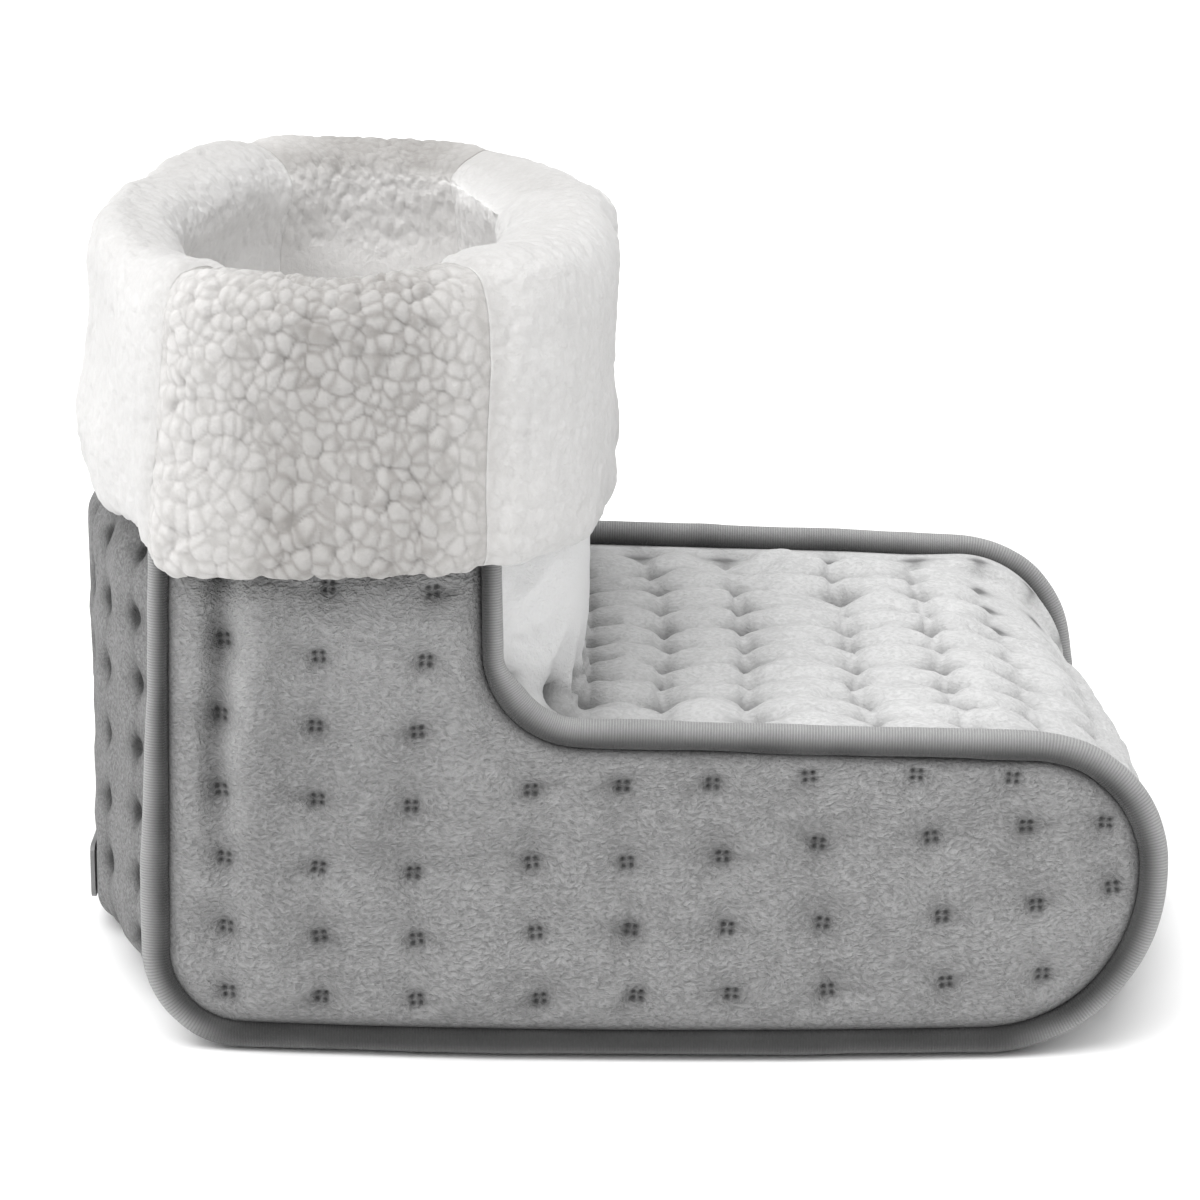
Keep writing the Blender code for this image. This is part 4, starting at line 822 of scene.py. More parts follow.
INSTEP_TUFTS_X = (-0.0135, 0.0125, 0.0405, 0.0755, 0.1045, 0.1305)
TOE_TUFT_GAPS = (0.0285, 0.0570, 0.0855, 0.1140)
FRONT_TUFTS_Z = (0.1110, 0.1720)
HEEL_TUFTS_Z = (0.022, 0.043, 0.064, 0.085, 0.106, 0.127, 0.148)
TUFT_ROW_PITCH = 0.0228
SOCKET_DEPTH = 0.0062
BACKING_SPARE = 0.0020
SOFT_LIMIT = 0.0007


def strip_height(s, y, columns, seed, pit, ridge, pitch, rows, full, star):
    """Quilted relief of a strip and its painted shade: pits at the tufts, creases beside them, puffs
    between.
    """
    row = np.clip(np.round(y / pitch), -rows, rows)
    dy = y - row * pitch + 0.0009 * ripple(s, y, 0.03, seed)
    ds = np.full(s.shape, 1.0)
    for column in columns:
        step = s - column - 0.0012 * wander(y, 0.05, seed + 2)
        ds = np.where(np.abs(step) < np.abs(ds), step, ds)
    near = np.abs(ds)
    r = np.hypot(near, dy)
    vary = 1 + 0.4 * ripple(s, y, 0.04, seed + 4)
    crease = vary * np.exp(-near / 0.0085) * bell(dy, 0.0021) * (1 - star)
    seam = bell(near, 0.0026, 1.6)
    between = np.sin(math.pi * np.clip(np.abs(dy) / pitch, 0, 0.5)) ** 2
    height = -pit * bell(r, 0.0037) - 0.0010 * full * bell(r, 0.0080)
    height -= 0.0014 * full ** 2 * seam + ridge * crease
    height += full * (0.0022 * (1 - bell(near, 0.0085)) + 0.0028 * np.exp(-near / 0.0090) * between)
    arms = (0.5 + 0.5 * np.cos(5 * np.arctan2(dy, ds) + 1.3)) ** 3
    height -= star * 0.0022 * arms * bell(r, 0.0072)
    height += 0.0006 * layered(s * 0.55, y, 0.013, 3, seed + 6) + 0.0006 * ripple(s, y, 0.045, seed + 8)
    height = height * (1 - 0.88 * star) - star * 0.0014 * bell(r, 0.0040)
    # Painted shade: darker in the tuft pits, along the creases and column seams, and in the arms of the star
    # tufts.
    shade = 0.80 * bell(r, 0.0034) + 0.30 * bell(r, 0.0068)
    shade = (shade + 0.42 * crease + 0.30 * seam * (1 - between)) * (1 - 0.6 * star)
    shade = shade + 0.6 * star * arms * bell(r, 0.0050)
    return height, np.clip(shade, 0, 1), ds, dy


def relax_cloth(points, held, pressure, growth, cap, frames):
    """Let the quilted cloth puff up between the points that hold it, and limit how far it moves."""
    rows, columns = points.shape[:2]
    item = mesh_object("settling_cloth", points.reshape(-1, 3), grid_faces(rows, columns))
    group = item.vertex_groups.new(name="held")
    group.add([int(v) for v in np.nonzero(held.ravel())[0]], 1.0, "REPLACE")
    cloth = item.modifiers.new("cloth", "CLOTH")
    settings = cloth.settings
    settings.quality = 6
    settings.mass = 0.2
    settings.tension_stiffness = 18
    settings.compression_stiffness = 12
    settings.shear_stiffness = 6
    settings.bending_stiffness = 0.35
    settings.vertex_group_mass = "held"
    settings.pin_stiffness = 1.0
    settings.use_pressure = True
    settings.uniform_pressure_force = pressure
    settings.shrink_min = -growth
    settings.effector_weights.gravity = 0.0
    cloth.collision_settings.use_collision = False
    scene = bpy.context.scene
    for step in range(1, frames + 1):
        scene.frame_set(step)
    done = item.evaluated_get(bpy.context.evaluated_depsgraph_get())
    flat = np.zeros(rows * columns * 3)
    done.data.vertices.foreach_get("co", flat)
    scene.frame_set(1)
    bpy.data.objects.remove(item, do_unlink=True)
    moved = flat.reshape(points.shape) - points
    length = np.linalg.norm(moved, axis=2, keepdims=True)
    return points + moved * np.minimum(1.0, cap / np.maximum(length, 1e-9))


def settled(base, s, y, columns, cell, seed):
    """The strip's cloth after the simulation, held at its tufts and along its seams."""
    rough = base[::2, ::2]
    rs, ry = s[::2, ::2], y[::2, ::2]
    puff = strip_height(rs, ry, columns, seed, 0.001, 0.0005, TUFT_ROW_PITCH, 5, 1.0, 0.0)[0]
    rough = rough + normals_of(rough) * (0.4 * puff[..., None] - 0.0002)
    held = np.zeros(rs.shape, bool)
    held[0, :] = held[-1, :] = held[:, 0] = held[:, -1] = True
    row_y = np.round(ry / TUFT_ROW_PITCH) * TUFT_ROW_PITCH
    for column in columns:
        held |= (np.abs(rs - column) < cell * 1.02) & (np.abs(ry - row_y) < cell * 1.02)
    relaxed = relax_cloth(rough, held, 2.5, 0.045, 0.0045, 14)
    share = 0.75 * ease((SIDE_FACE_Y - np.abs(y)) / 0.010)[..., None]
    return base + (refined(relaxed) - base) * share


def socket_room(points):
    """Where the heel's cloth lies behind the floor of the inlet's socket; the flange hides its slopes."""
    beside = ease((0.0128 - np.abs(points[..., 1])) / 0.0030)
    return beside * ease((0.0078 - np.abs(points[..., 2] - INLET_Z)) / 0.0030)


def quilted_strip(name, start, end, columns_at, seed, cell, look, solids, relief, sunk, calm=None):
    """Strip cover between the two side panels, with its wadding.

    relief gives the depth of its pits and creases, the pitch of its rows of tufts, how many of them lie
    each side of the middle, and how full the puffs between are. calm is given for the heel: it tells
    where the strip lies flat, and such a strip is shaped without the simulation.
    """
    count = in_steps(even_stations(start, end, 10)[1] / cell)
    across = in_steps(2 * SIDE_FACE_Y / cell)
    stations, length = even_stations(start, end, count)
    s_line = np.linspace(0, length, count + 1)
    y_line = np.linspace(-1, 1, across + 1) * (SIDE_FACE_Y - 0.0002)
    s, y = np.meshgrid(s_line, y_line, indexing="ij")
    at = np.broadcast_to(stations[:, None], s.shape)
    columns = np.interp(columns_at, stations, s_line)
    flat = strip_points(at, y, 0.0, 5.0)
    base = flat if calm else settled(flat, s, y, columns, cell, seed)
    front = ease((flat[..., 2] - 0.100) / 0.006) * (flat[..., 0] > -0.06)
    height, shade, ds, dy = strip_height(s, y, columns, seed, *relief, front)
    level = ease((SIDE_FACE_Y - np.abs(y)) / 0.009) * ease(s / 0.008) * ease((length - s) / 0.008)
    if calm is not None:
        # The heel's stitch dents also get painted shade.
        marks = tuft_marks(ds, dy)
        height = height - 0.0008 * marks
        shade = np.clip(shade + 0.85 * marks, 0, 1)
        level = level * calm(flat)
        height = height - 0.0075 * bell(flat[..., 2] - 0.004, 0.013)
    height = height - 0.0044 * ease((flat[..., 0] - 0.105) / 0.035) * ease((flat[..., 2] - 0.030) / 0.03)
    beside = ease((INNER_Y - 0.001 - np.abs(y)) / 0.004)
    quilt_depth = COVER_THICKNESS + (WADDING_THICKNESS + LAYER_GAP) * beside
    sagged = np.linalg.norm(toe_sag(flat) - flat, axis=2)
    normal = normals_of(flat)
    puffed = np.sum((base - flat) * normal, axis=2)
    lowest = BACKING_SPARE - quilt_depth + 1.1 * sagged
    spare = (puffed + (height - sunk) * level - lowest) / SOFT_LIMIT
    height = lowest - puffed + SOFT_LIMIT * np.logaddexp(0.0, spare)
    if calm is not None:
        height = height - SOCKET_DEPTH * socket_room(flat)
    face = base + normal * height[..., None]
    face[..., 2] = np.maximum(face[..., 2], 0.0001)
    item = quilt_body(name, face, strip_points(at, y, quilt_depth, 5.0))
    # Painted shade from the pits and creases; painted light on the front of the shaft.
    paint(item, "tuft", shade * level)
    paint(item, "painted_light", front * 0.9)
    return dress(reshaped(item, toe_sag), look, *solids, slot="plush", fill=0.5)


# Binding tape

BINDING_TOP_Z = 0.158


def binding(name, side, seed):
    """Ribbed tape round the edge of a side panel; its ends go up under the cuff."""
    fine = np.linspace(0, len(FINE_SEAM[0]) - 1, 2400)
    centre = track_points(FINE_SEAM, fine, 0.0)
    normal = track_points(FINE_SEAM, fine, -1.0) - centre
    low = centre[:, 1] <= BINDING_TOP_Z
    centre = centre[low]
    normal = normal[low]
    run = run_along(centre)
    goal = np.linspace(0, run[-1], int(run[-1] / grain(0.0016)) + 1)
    centre = np.stack([np.interp(goal, run, centre[:, i]) for i in (0, 1)], axis=1)
    normal = np.stack([np.interp(goal, run, normal[:, i]) for i in (0, 1)], axis=1)
    sides = 20
    angles = np.linspace(0, math.tau, sides, endpoint=False)
    front = ease((centre[:, 0] + 0.10) / 0.02)
    up_shaft = ease((centre[:, 1] - 0.035) / 0.10) * (1 - front)
    up_shaft = up_shaft + ease((centre[:, 1] - 0.108) / 0.015) * front
    half_wide, half_thick = 0.0045 - 0.0014 * up_shaft[:, None], 0.0034
    centre = centre + normal * (half_wide - 0.0012)
    across = np.sign(np.cos(angles)) * np.abs(np.cos(angles)) ** 0.92
    wide = across * half_wide
    thick = np.sign(np.sin(angles)) * np.abs(np.sin(angles)) ** 0.92 * half_thick
    along, round_tape = np.meshgrid(goal, angles * 0.004, indexing="ij")
    swell = 1 + 0.05 * ripple(along, round_tape, 0.022, seed)
    sway_out = 0.0005 * wander(goal, 0.045, seed + 1) + 0.00015 * wander(goal, 0.009, seed + 2)
    sway_out = (sway_out * (1 - ease((0.012 - centre[:, 1]) / 0.006)))[:, None]
    sway_y = 0.0006 * ripple(goal, goal * 0 + 3, 0.06, seed + 3)
    x = centre[:, 0:1] + normal[:, 0:1] * (wide * swell + sway_out)
    z = np.maximum(centre[:, 1:2] + normal[:, 1:2] * (wide * swell + sway_out), 0.0)
    out = bow(centre[:, 0], centre[:, 1])[:, None] * (0.5 + thick / half_thick / 2)
    y = SIDE_FACE_Y + 0.0022 + thick * swell + sway_y[:, None] + out
    points = np.stack([x, side * y, z], axis=2)
    rows = len(goal)
    ring = np.arange(rows * sides).reshape(rows, sides)
    beside = np.roll(ring, -1, axis=1)
    quads = np.stack([ring[:-1], beside[:-1], beside[1:], ring[1:]], axis=2).reshape(-1, 4)
    faces = [*quads.tolist(), ring[0, ::-1].tolist(), ring[-1].tolist()]
    if side < 0:
        faces = [face[::-1] for face in faces]
    item = mesh_object(name, points.reshape(-1, 3), faces)
    # Painted shade on the half of the tape towards the panel, where it sinks into the groove, and painted
    # shadow near the floor.
    shade = 0.97 * ease((0.98 - across) / 1.70) + 0.75 * ease((0.0090 - z) / 0.0080)
    paint(item, "tuft", np.clip(shade + 0.06 * ripple(along, round_tape, 0.012, seed + 5), 0, 1))
    uv = item.data.uv_layers.new(name="run")
    index = np.zeros(len(item.data.loops), int)
    item.data.loops.foreach_get("vertex_index", index)
    coords = np.stack([goal[index // sides], (index % sides) / sides * 0.02], axis=1)
    uv.data.foreach_set("uv", coords.astype(np.float32).ravel())
    word = "right" if side < 0 else "left"
    return dress(reshaped(item, toe_sag), BINDING, word + "_binding", slot="binding")


# Folded fleece cuff

CUFF_CENTRE_X = -0.0875
CUFF_REACH = 0.0850
CUFF_HALF_WIDTH = 0.1400
CUFF_HEEL_BOW = 0.0385
CUFF_CORNER_BLEND = 0.0040
CUFF_HEEL_SEAM_X = -0.1400
CUFF_FRONT_SEAM_X = -0.0395
CUFF_RUN = 0.185
CUFF_BACKING = 0.0034
CURL_SIZE = 0.0039
SMALL_CURL_SIZE = 0.0025
SMOOTH_PANEL_CURL = 0.16


def rounded(line, size):
    """A closed line of points with its corners rounded over about the given size."""
    step = np.linalg.norm(np.diff(line, axis=0), axis=1).mean()
    reach = int(3 * size / step) + 1
    weight = np.exp(-0.5 * (np.arange(-reach, reach + 1) * step / size) ** 2)
    weight = weight / weight.sum()
    total = np.zeros_like(line)
    for shift, share in zip(range(-reach, reach + 1), weight):
        total += share * np.roll(line, shift, axis=0)
    return total


def cuff_outline():
    """Outer line of the cuff in plan at +Y, from the heel to the front, as in the solids."""
    points = []
    for step in range(1601):
        angle = math.pi * step / 1600
        heel = angle < math.pi / 2
        power = 3.4 if heel else 4.0
        reach = CUFF_REACH + (CUFF_CORNER_BLEND / 4 if heel else 0.0)
        run = abs(math.cos(angle)) ** (2 / power) * reach
        rise = abs(math.sin(angle)) ** (2 / power) * CUFF_HALF_WIDTH
        if heel:
            bow = reach - CUFF_HEEL_BOW * (rise / CUFF_HALF_WIDTH) ** 2
            near = max(0.0, 1.0 - abs(run - bow) / CUFF_CORNER_BLEND)
            run = -(min(run, bow) - near * near * CUFF_CORNER_BLEND / 4)
        points.append((CUFF_CENTRE_X + run, rise))
    return np.array(points)


def cuff_lines():
    """Outer and inner plan line of the four panels, in order round the rim."""
    outline = cuff_outline()
    y = np.linspace(0, INNER_Y, 400)
    heel_in = strip_points(0.0, y, MOUTH_DEPTH)[:, :2]
    front_in = strip_points(float(TRACK_END), y, MOUTH_DEPTH)[:, :2]
    side = outline[(outline[:, 0] > CUFF_HEEL_SEAM_X) & (outline[:, 0] < CUFF_FRONT_SEAM_X)]
    heel = outline[outline[:, 0] <= CUFF_HEEL_SEAM_X]
    front = outline[outline[:, 0] >= CUFF_FRONT_SEAM_X]
    side_in = np.array([heel_in[-1], front_in[-1]])

    def other(line):
        return line[::-1] * np.array((1, -1))

    def ending(line):
        return np.concatenate([other(line)[:-1], line])

    def beginning(line):
        return np.concatenate([line[:-1], other(line)])

    return (
        ("heel", ending(heel), ending(heel_in)),
        ("left", side, side_in),
        ("front", beginning(front), beginning(front_in[::-1])),
        ("right", other(side), other(side_in)),
    )


RIM_SHAPE = (
    (0.0, 0.0018, 0.1860), (0.0, 0.0004, 0.1890), (0.0, 0.0, 0.1960), (0.0, -0.0004, 0.2060),
    (0.0, -0.0022, 0.2150), (0.0, -0.0045, 0.2235), (0.02, -0.0048, 0.2310), (0.14, -0.0030, 0.2375),
    (0.34, 0.0, 0.2408), (0.60, 0.0, 0.2416), (0.82, 0.0, 0.2382), (0.96, 0.0, 0.2300), (1.0, 0.0, 0.2200),
    (1.0, 0.0004, 0.2080), (1.0, 0.0004, 0.1940), (1.0, 0.0008, 0.1800), (1.0, 0.0018, 0.1660),
    (1.0, 0.0014, 0.1585), (1.0, -0.0012, 0.1548), (1.0, -0.0046, 0.1560), (1.0, -0.0056, 0.1620),
    (1.0, -0.0056, 0.1700),
)


def rim_curve(count):
    """The folded fleece from the mouth over the rim and down: share of the reach, added distance, height."""
    keys = np.array(RIM_SHAPE)
    fine = []
    padded = np.concatenate([keys[:1], keys, keys[-1:]])
    for a, b, c, d in zip(padded, padded[1:], padded[2:], padded[3:]):
        for t in np.linspace(0, 1, 16, endpoint=False):
            bend = (2 * a - 5 * b + 4 * c - d) * t * t + (3 * b - a - 3 * c + d) * t ** 3
            fine.append(0.5 * (2 * b + (c - a) * t + bend))
    fine.append(keys[-1])
    fine = np.array(fine)
    flat = np.stack([fine[:, 0] * 0.028 + fine[:, 1], fine[:, 2]], axis=1)
    run = run_along(flat)
    goal = np.linspace(0, run[-1], count + 1)
    return [np.interp(goal, run, fine[:, i]) for i in range(3)], goal


def cuff_relief(u, v, curly, seed):
    """Curls of the fleece: height, and painted shade of the groove between them."""
    wu = u + 0.0012 * layered(u, v, 0.010, 2, seed + 20) + 0.0004 * ripple(u, v, 0.0030, seed + 22)
    wv = v + 0.0012 * layered(u, v, 0.010, 2, seed + 21) + 0.0004 * ripple(u, v, 0.0030, seed + 23)
    dome, gap = curls(wu, wv * 0.86, CURL_SIZE, seed)
    small, small_gap = curls(wu, wv, SMALL_CURL_SIZE, seed + 40)
    round_top = np.clip(dome + 0.42, 0.0, 1.2) ** 0.7
    lump = np.sqrt(np.clip(small + 0.40, 0.0, 1.0))
    fine = layered(u, v, 0.0017, 2, seed + 60)
    tall = 1 + 0.40 * ripple(u, v, 0.017, seed + 65)
    wale = ripple(u, v * 0.22, 0.0105, seed + 68)
    height = curly * (0.0021 * tall * (round_top - 0.66) + 0.0003 * (lump - 0.6) + 0.0006 * wale)
    height += (0.00010 + 0.00005 * curly) * fine
    combed = layered(u, v, 0.013, 3, seed + 70)
    loose = ripple(u, v, 0.024, seed + 75)
    calm = 0.0005 * combed + 0.0004 * (lump - 0.6) + 0.0008 * loose + 0.0006 * (round_top - 0.66)
    height += (1 - curly) * calm
    # Painted shade: darker in the grooves between curls, in the valleys of the wales and at the low curls.
    deep = 0.62 * bell(gap, 0.30) * (0.65 + 0.40 * tall) + 0.12 * np.exp(-small_gap / 0.25)
    deep = deep + 0.24 * ease(0.2 - wale) + 0.16 * ease(0.4 - round_top)
    return height, np.clip(deep * (0.10 + 0.90 * curly) + 0.10 * (1 - curly) * ease(0.5 - combed), 0, 1)


def fleece_piece(item, groove, look, solid, inside=None, fill=0.4):
    """Paint and dress a fleece piece, which gets painted light all over, as inside the mouth, unless told
    otherwise.
    """
    paint(item, "groove", groove)
    # Painted light: the lighter inside tone stands in for light inside the mouth and on the linings.
    paint(item, "inside", np.ones(len(item.data.vertices)) if inside is None else inside)
    return dress(item, look, solid, slot="fleece", fill=fill)


def build_cuff():
    """The four fleece panels, folded over the rim as one loop and then cut apart at their seams."""
    pitch = grain(0.00068)
    panels = cuff_lines()
    coarse = {"heel": 1.7, "left": 1.3, "front": 1.5, "right": 1.0}
    counts = [in_steps(spread(line, 4)[1] / pitch / coarse[word]) for word, line, _ in panels]
    outer = np.concatenate([spread(line, n)[0][:-1] for (_, line, _), n in zip(panels, counts)])
    inner = np.concatenate([spread(line, n)[0][:-1] for (_, _, line), n in zip(panels, counts)])
    outer = rounded(outer, 0.0045)
    inner = rounded(inner, 0.0070)
    outer_x, outer_y = outer[:, 0:1], outer[:, 1:2]
    step = np.linalg.norm(np.roll(outer, -1, axis=0) - outer, axis=1)
    start = np.cumsum(step) - step
    whole = start[-1] + step[-1]
    rows = in_steps(CUFF_RUN / pitch)
    (share, added, z), v = rim_curve(rows)
    total = len(outer)
    u = np.repeat(start[:, None], rows + 1, axis=1)
    v = np.repeat(v[None, :], total, axis=0)
    z = np.repeat(z[None, :], total, axis=0)
    share, added = np.broadcast_arrays(share, added, z)[:2]
    high = ease((z - 0.160) / 0.070)
    toward_heel = ease((-0.095 - outer_x) / 0.05)
    toward_front = ease((outer_x + 0.075) / 0.05)
    lean = 0.0042 * toward_heel * high + toward_front * (0.0030 * high - 0.0012)
    gap = outer - inner
    reach = np.linalg.norm(gap, axis=1, keepdims=True)
    along = gap / reach
    ends = np.maximum(toward_heel, toward_front)
    bulge = np.where((added < 0) & (share <= 0.5), added * (0.75 + 0.9 * ends), added)
    distance = share * reach + bulge
    loop = 2 * math.pi * start / whole

    def around(size, seed):
        """Slow change round the rim that meets itself."""
        radius = whole / math.tau
        return ripple(radius * np.cos(loop), radius * np.sin(loop), size, seed)[:, None]

    drop = share * ease((0.200 - z) / 0.045)
    heel_side = ease((-0.134 - outer_x) / 0.018)
    z = z + drop * (0.0056 * heel_side - 0.0012 + 0.0010 * around(0.03, 920) + 0.0005 * around(0.0045, 925))
    distance = distance - 0.0036 * heel_side * share * ease((0.184 - z) / 0.022)
    crest = ease((z - 0.226) / 0.012)
    near_front = bell(outer_x + 0.020, 0.03) * ease(-outer_y / 0.10)
    far_front = bell(outer_x + 0.010, 0.035) * ease(outer_y / 0.08)
    middle = bell(outer_x + 0.085, 0.035) * ease(-outer_y / 0.10)
    z = z + crest * (0.0035 * near_front - 0.0060 * far_front - 0.0022 * middle + 0.0014 * around(0.05, 930))
    x = inner[:, 0:1] + along[:, 0:1] * distance + lean * share
    y = inner[:, 1:2] + along[:, 1:2] * distance
    points = np.stack([x, y, z], axis=2)
    closed = np.concatenate([points[-3:], points, points[:4]])
    normal = -normals_of(closed)[3:-4]
    for _ in range(3):
        normal = normal + np.roll(normal, 1, axis=0) + np.roll(normal, -1, axis=0)
        normal = normal / np.linalg.norm(normal, axis=2, keepdims=True)
    marks = np.concatenate([[0], np.cumsum(counts)])
    seam_u = np.array([start[m] for m in marks[:-1]])
    away = np.min(np.abs((u[..., None] - seam_u + whole / 2) % whole - whole / 2), axis=2)
    own = np.repeat([SMOOTH_PANEL_CURL, 1.0, SMOOTH_PANEL_CURL, 1.0], counts)[:, None]
    rim = bell(v - 0.066, 0.012)
    far = ease(outer_y / 0.08)
    curly = own * (1 - 0.35 * bell(away, 0.006)) * (1 - 0.62 * far * ease((0.080 - v) / 0.012))
    curly = curly + (1 - own) * 0.10 * rim
    curly = curly + (1 - own) * 0.40 * bell(away, 0.010)
    height, groove = cuff_relief(u, v, curly, 300)
    over = ease((v - 0.006) / 0.02)
    soft = 0.0016 * ripple(u, v, 0.055, 900) + 0.0011 * ripple(u, v, 0.027, 910)
    away = np.abs(away + 0.0016 * ripple(u * 0, v, 0.018, 940))
    below = ease((v - 0.05) / 0.02)
    sewn = -(0.0007 + 0.0010 * below) * bell(away, 0.0056)
    relief = np.maximum(soft + height + sewn, -0.0024)
    face = points + normal * (relief * over)[..., None]
    core = points - normal * CUFF_BACKING
    # Painted shade along the seams, widest on the brushed panels.
    groove = groove + (0.34 * bell(away, 0.0046) + 0.24 * (1 - own) * bell(away, 0.014)) * below
    # Painted shade along the rim's crest, more on the far side.
    crest = bell(v - 0.064, 0.012)
    groove = np.clip(groove + crest * ((0.40 + 0.40 * far) * (1 - own) + (0.25 + 0.15 * far) * own), 0, 1)
    # Painted light: lighter inside the mouth, near the heel and front seams of the curly panels and along
    # the top of the near side.
    near_heel = bell(outer_x - CUFF_HEEL_SEAM_X, 0.030)
    near_front = bell(outer_x - CUFF_FRONT_SEAM_X, 0.014)
    top = ease((0.088 - v) / 0.022) * (1 - far)
    mouth = ease((0.052 - v) / 0.016) + own * (0.42 * near_heel + 0.28 * near_front + 0.06 * top) * below
    mouth = np.clip(mouth, 0, 1)
    for index, (word, _, _) in enumerate(panels):
        picks = np.arange(marks[index], marks[index + 1] + 1) % total
        item = quilt_body(word + "_fleece_cuff", face[picks], core[picks], flip=True)
        look = CURLY if index % 2 else BRUSHED
        fleece_piece(item, groove[picks], look, word + "_cuff_panel", inside=mouth[picks])


# Fleece lining

def build_linings():
    """Linings of the heel, and of the instep and the front of the shaft."""
    pitch = grain(0.0021)
    y_line = np.linspace(-INNER_Y, INNER_Y, int(0.22 / pitch / 4) * 4 + 1)
    for name, solid, start, end, reach, rim, curly, seed in (
        ("heel_lining", "heel_liner", 1.9, HEEL_ARC_END - 2.0, 0.18, 0, 0.15, 410),
        ("instep_lining", "upper_liner", SOLE_LINE_END + 5.0, TRACK_END - 3.7, 0.36, -1, 0.3, 430),
    ):
        at, length = even_stations(start, end, int(reach / pitch / 4) * 4)
        s, y = np.meshgrid(np.linspace(0, length, len(at)), y_line, indexing="ij")
        stations = np.broadcast_to(at[:, None], s.shape)
        points = strip_points(stations, y, LINER_DEPTH + LINER_THICKNESS)
        core = strip_points(stations, y, LINER_DEPTH)
        points[rim, :, 2] = core[rim, :, 2] = CUFF_INNER_LOW_Z - FIT_GAP
        height, groove = cuff_relief(y, s, curly, seed)
        folds = 0.0016 * wander(y, 0.024, seed + 5) + 0.0008 * ripple(y, s, 0.04, seed + 6)
        row, column = np.indices(s.shape)
        edge = np.minimum(np.minimum(row, row[::-1]), np.minimum(column, column[:, ::-1]))
        raised = (height * 0.8 + folds * 0.6 - 0.0005) * ease(edge / 5.0)
        item = quilt_body(name, points - normals_of(points) * raised[..., None], core, flip=True)
        fleece_piece(item, groove, BRUSHED, solid)


def side_lining(word, side):
    """Lining of a side wall, cut to the seam outline less the layers round it."""
    step = grain(0.0022)
    x, z = np.meshgrid(np.arange(*PANEL_REACH_X, step), np.arange(0.012, 0.1900, step))
    away = outline_distance(x, z)[0] - (LINER_DEPTH + 2 * FIT_GAP)
    height, groove = cuff_relief(x, z, 0.8, 450 + side)
    folds = 0.0016 * wander(x, 0.024, 460)
    inner = SIDE_FACE_Y - 2 * FIT_GAP - WADDING_THICKNESS - LINER_THICKNESS
    y = inner - (height * 0.8 + folds * 0.6 - 0.0005) * ease(away / 0.01) * ease((0.183 - z) / 0.012)
    back_y = inner + LINER_THICKNESS - 0.0003
    item, used = cut_body(word + "_side_lining", side, (x, y, z), away > 0, back_y, inward=True)
    fleece_piece(item, groove[used], CURLY, word + "_side_liner")


def footbed():
    """Fleece footbed over the heater."""
    pitch = grain(0.0022)
    low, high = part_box("footbed_liner")
    rows = int((high.y - low.y) / pitch / 4) * 4
    columns = int((high.x - low.x) / pitch / 4) * 4
    y = np.linspace(low.y, high.y, rows + 1)[:, None]
    reach = (y / SIDE_FACE_Y) ** 2
    heel_x = strip_points(float(HEEL_ARC_END), y, 0.0)[..., 0] + 0.0012
    toe_x = strip_points(float(SOLE_LINE_END), y, 0.0)[..., 0] + 0.0120 * (1 - reach)
    share = np.linspace(0, 1, columns + 1)[None, :]
    x = heel_x + (toe_x - heel_x) * share
    yy = y + 0 * x
    height, groove = cuff_relief(x, yy, 1.0, 480)
    edge = ease(np.minimum(np.minimum(x - heel_x, toe_x - x), high.y - np.abs(yy)) / 0.008)
    z = high.z - 0.0012 * (1 - edge) + (height * 0.9 + 0.0006 * ripple(x, yy, 0.05, 481)) * edge - 0.0004
    face = np.stack([x, yy, z], axis=2)
    core = np.stack([x, yy, np.full(x.shape, low.z)], axis=2)
    fleece_piece(quilt_body("fleece_footbed", face, core), groove, CURLY, "footbed_liner", fill=0.5)


def sole():
    """Woven sole cloth, flat on the floor, curled up to the side seams."""
    rows, columns = 96, 64
    stations, length = even_stations(HEEL_ARC_END + 0.02, SOLE_LINE_END - 0.02, columns)
    y_line = np.linspace(-1, 1, rows + 1) * (SIDE_FACE_Y - FIT_GAP)
    y, at = np.meshgrid(y_line, stations, indexing="ij")
    face = strip_points(at, y, 0.0)
    waves = 0.0002 * ripple(face[..., 0], y, 0.03, 70) * ease(face[..., 2] / 0.001)
    face[..., 2] = np.maximum(face[..., 2] + waves, 0.0)
    core = strip_points(at, y, SOLE_THICKNESS)
    item = quilt_body("sole_cloth", face, core, flip=True)
    dress(item, SOLE, "sole_cover", slot="sole_cloth")


# Build

def heel_calm(points):
    """The heel cover lies flat round the inlet."""
    away = np.hypot(points[..., 1], points[..., 2] - INLET_Z)
    return ease((away - 0.020) / 0.010)


def upper_columns():
    """Track places of the tuft columns from the foot of the toe to the top of the shaft."""
    instep = station_at_x(np.array(INSTEP_TUFTS_X), INSTEP_ARC_START - LINE_STEPS - ARC_STEPS, INSTEP_CREASE)
    places, length = even_stations(SOLE_LINE_END, TRACK_END, 400)
    run = np.linspace(0, length, 401)
    first = np.interp(instep.min(), places, run)
    toe = [np.interp(first - gap, run, places) for gap in TOE_TUFT_GAPS]
    shaft = np.linspace(INSTEP_CREASE, TRACK_END, 400)
    front = np.interp(FRONT_TUFTS_Z, strip_points(shaft, SIDE_FACE_Y * 0.75, 0.0)[:, 2], shaft)
    return np.array(sorted([*toe, *instep, *front]))


def heel_columns():
    """Track places of the tuft rows up the heel."""
    places = np.linspace(0.0, HEEL_ARC_END, 400)
    height = strip_points(places, SIDE_FACE_Y * 0.75, 0.0)[:, 2]
    return np.array(sorted(np.interp(HEEL_TUFTS_Z, height[::-1], places[::-1])))


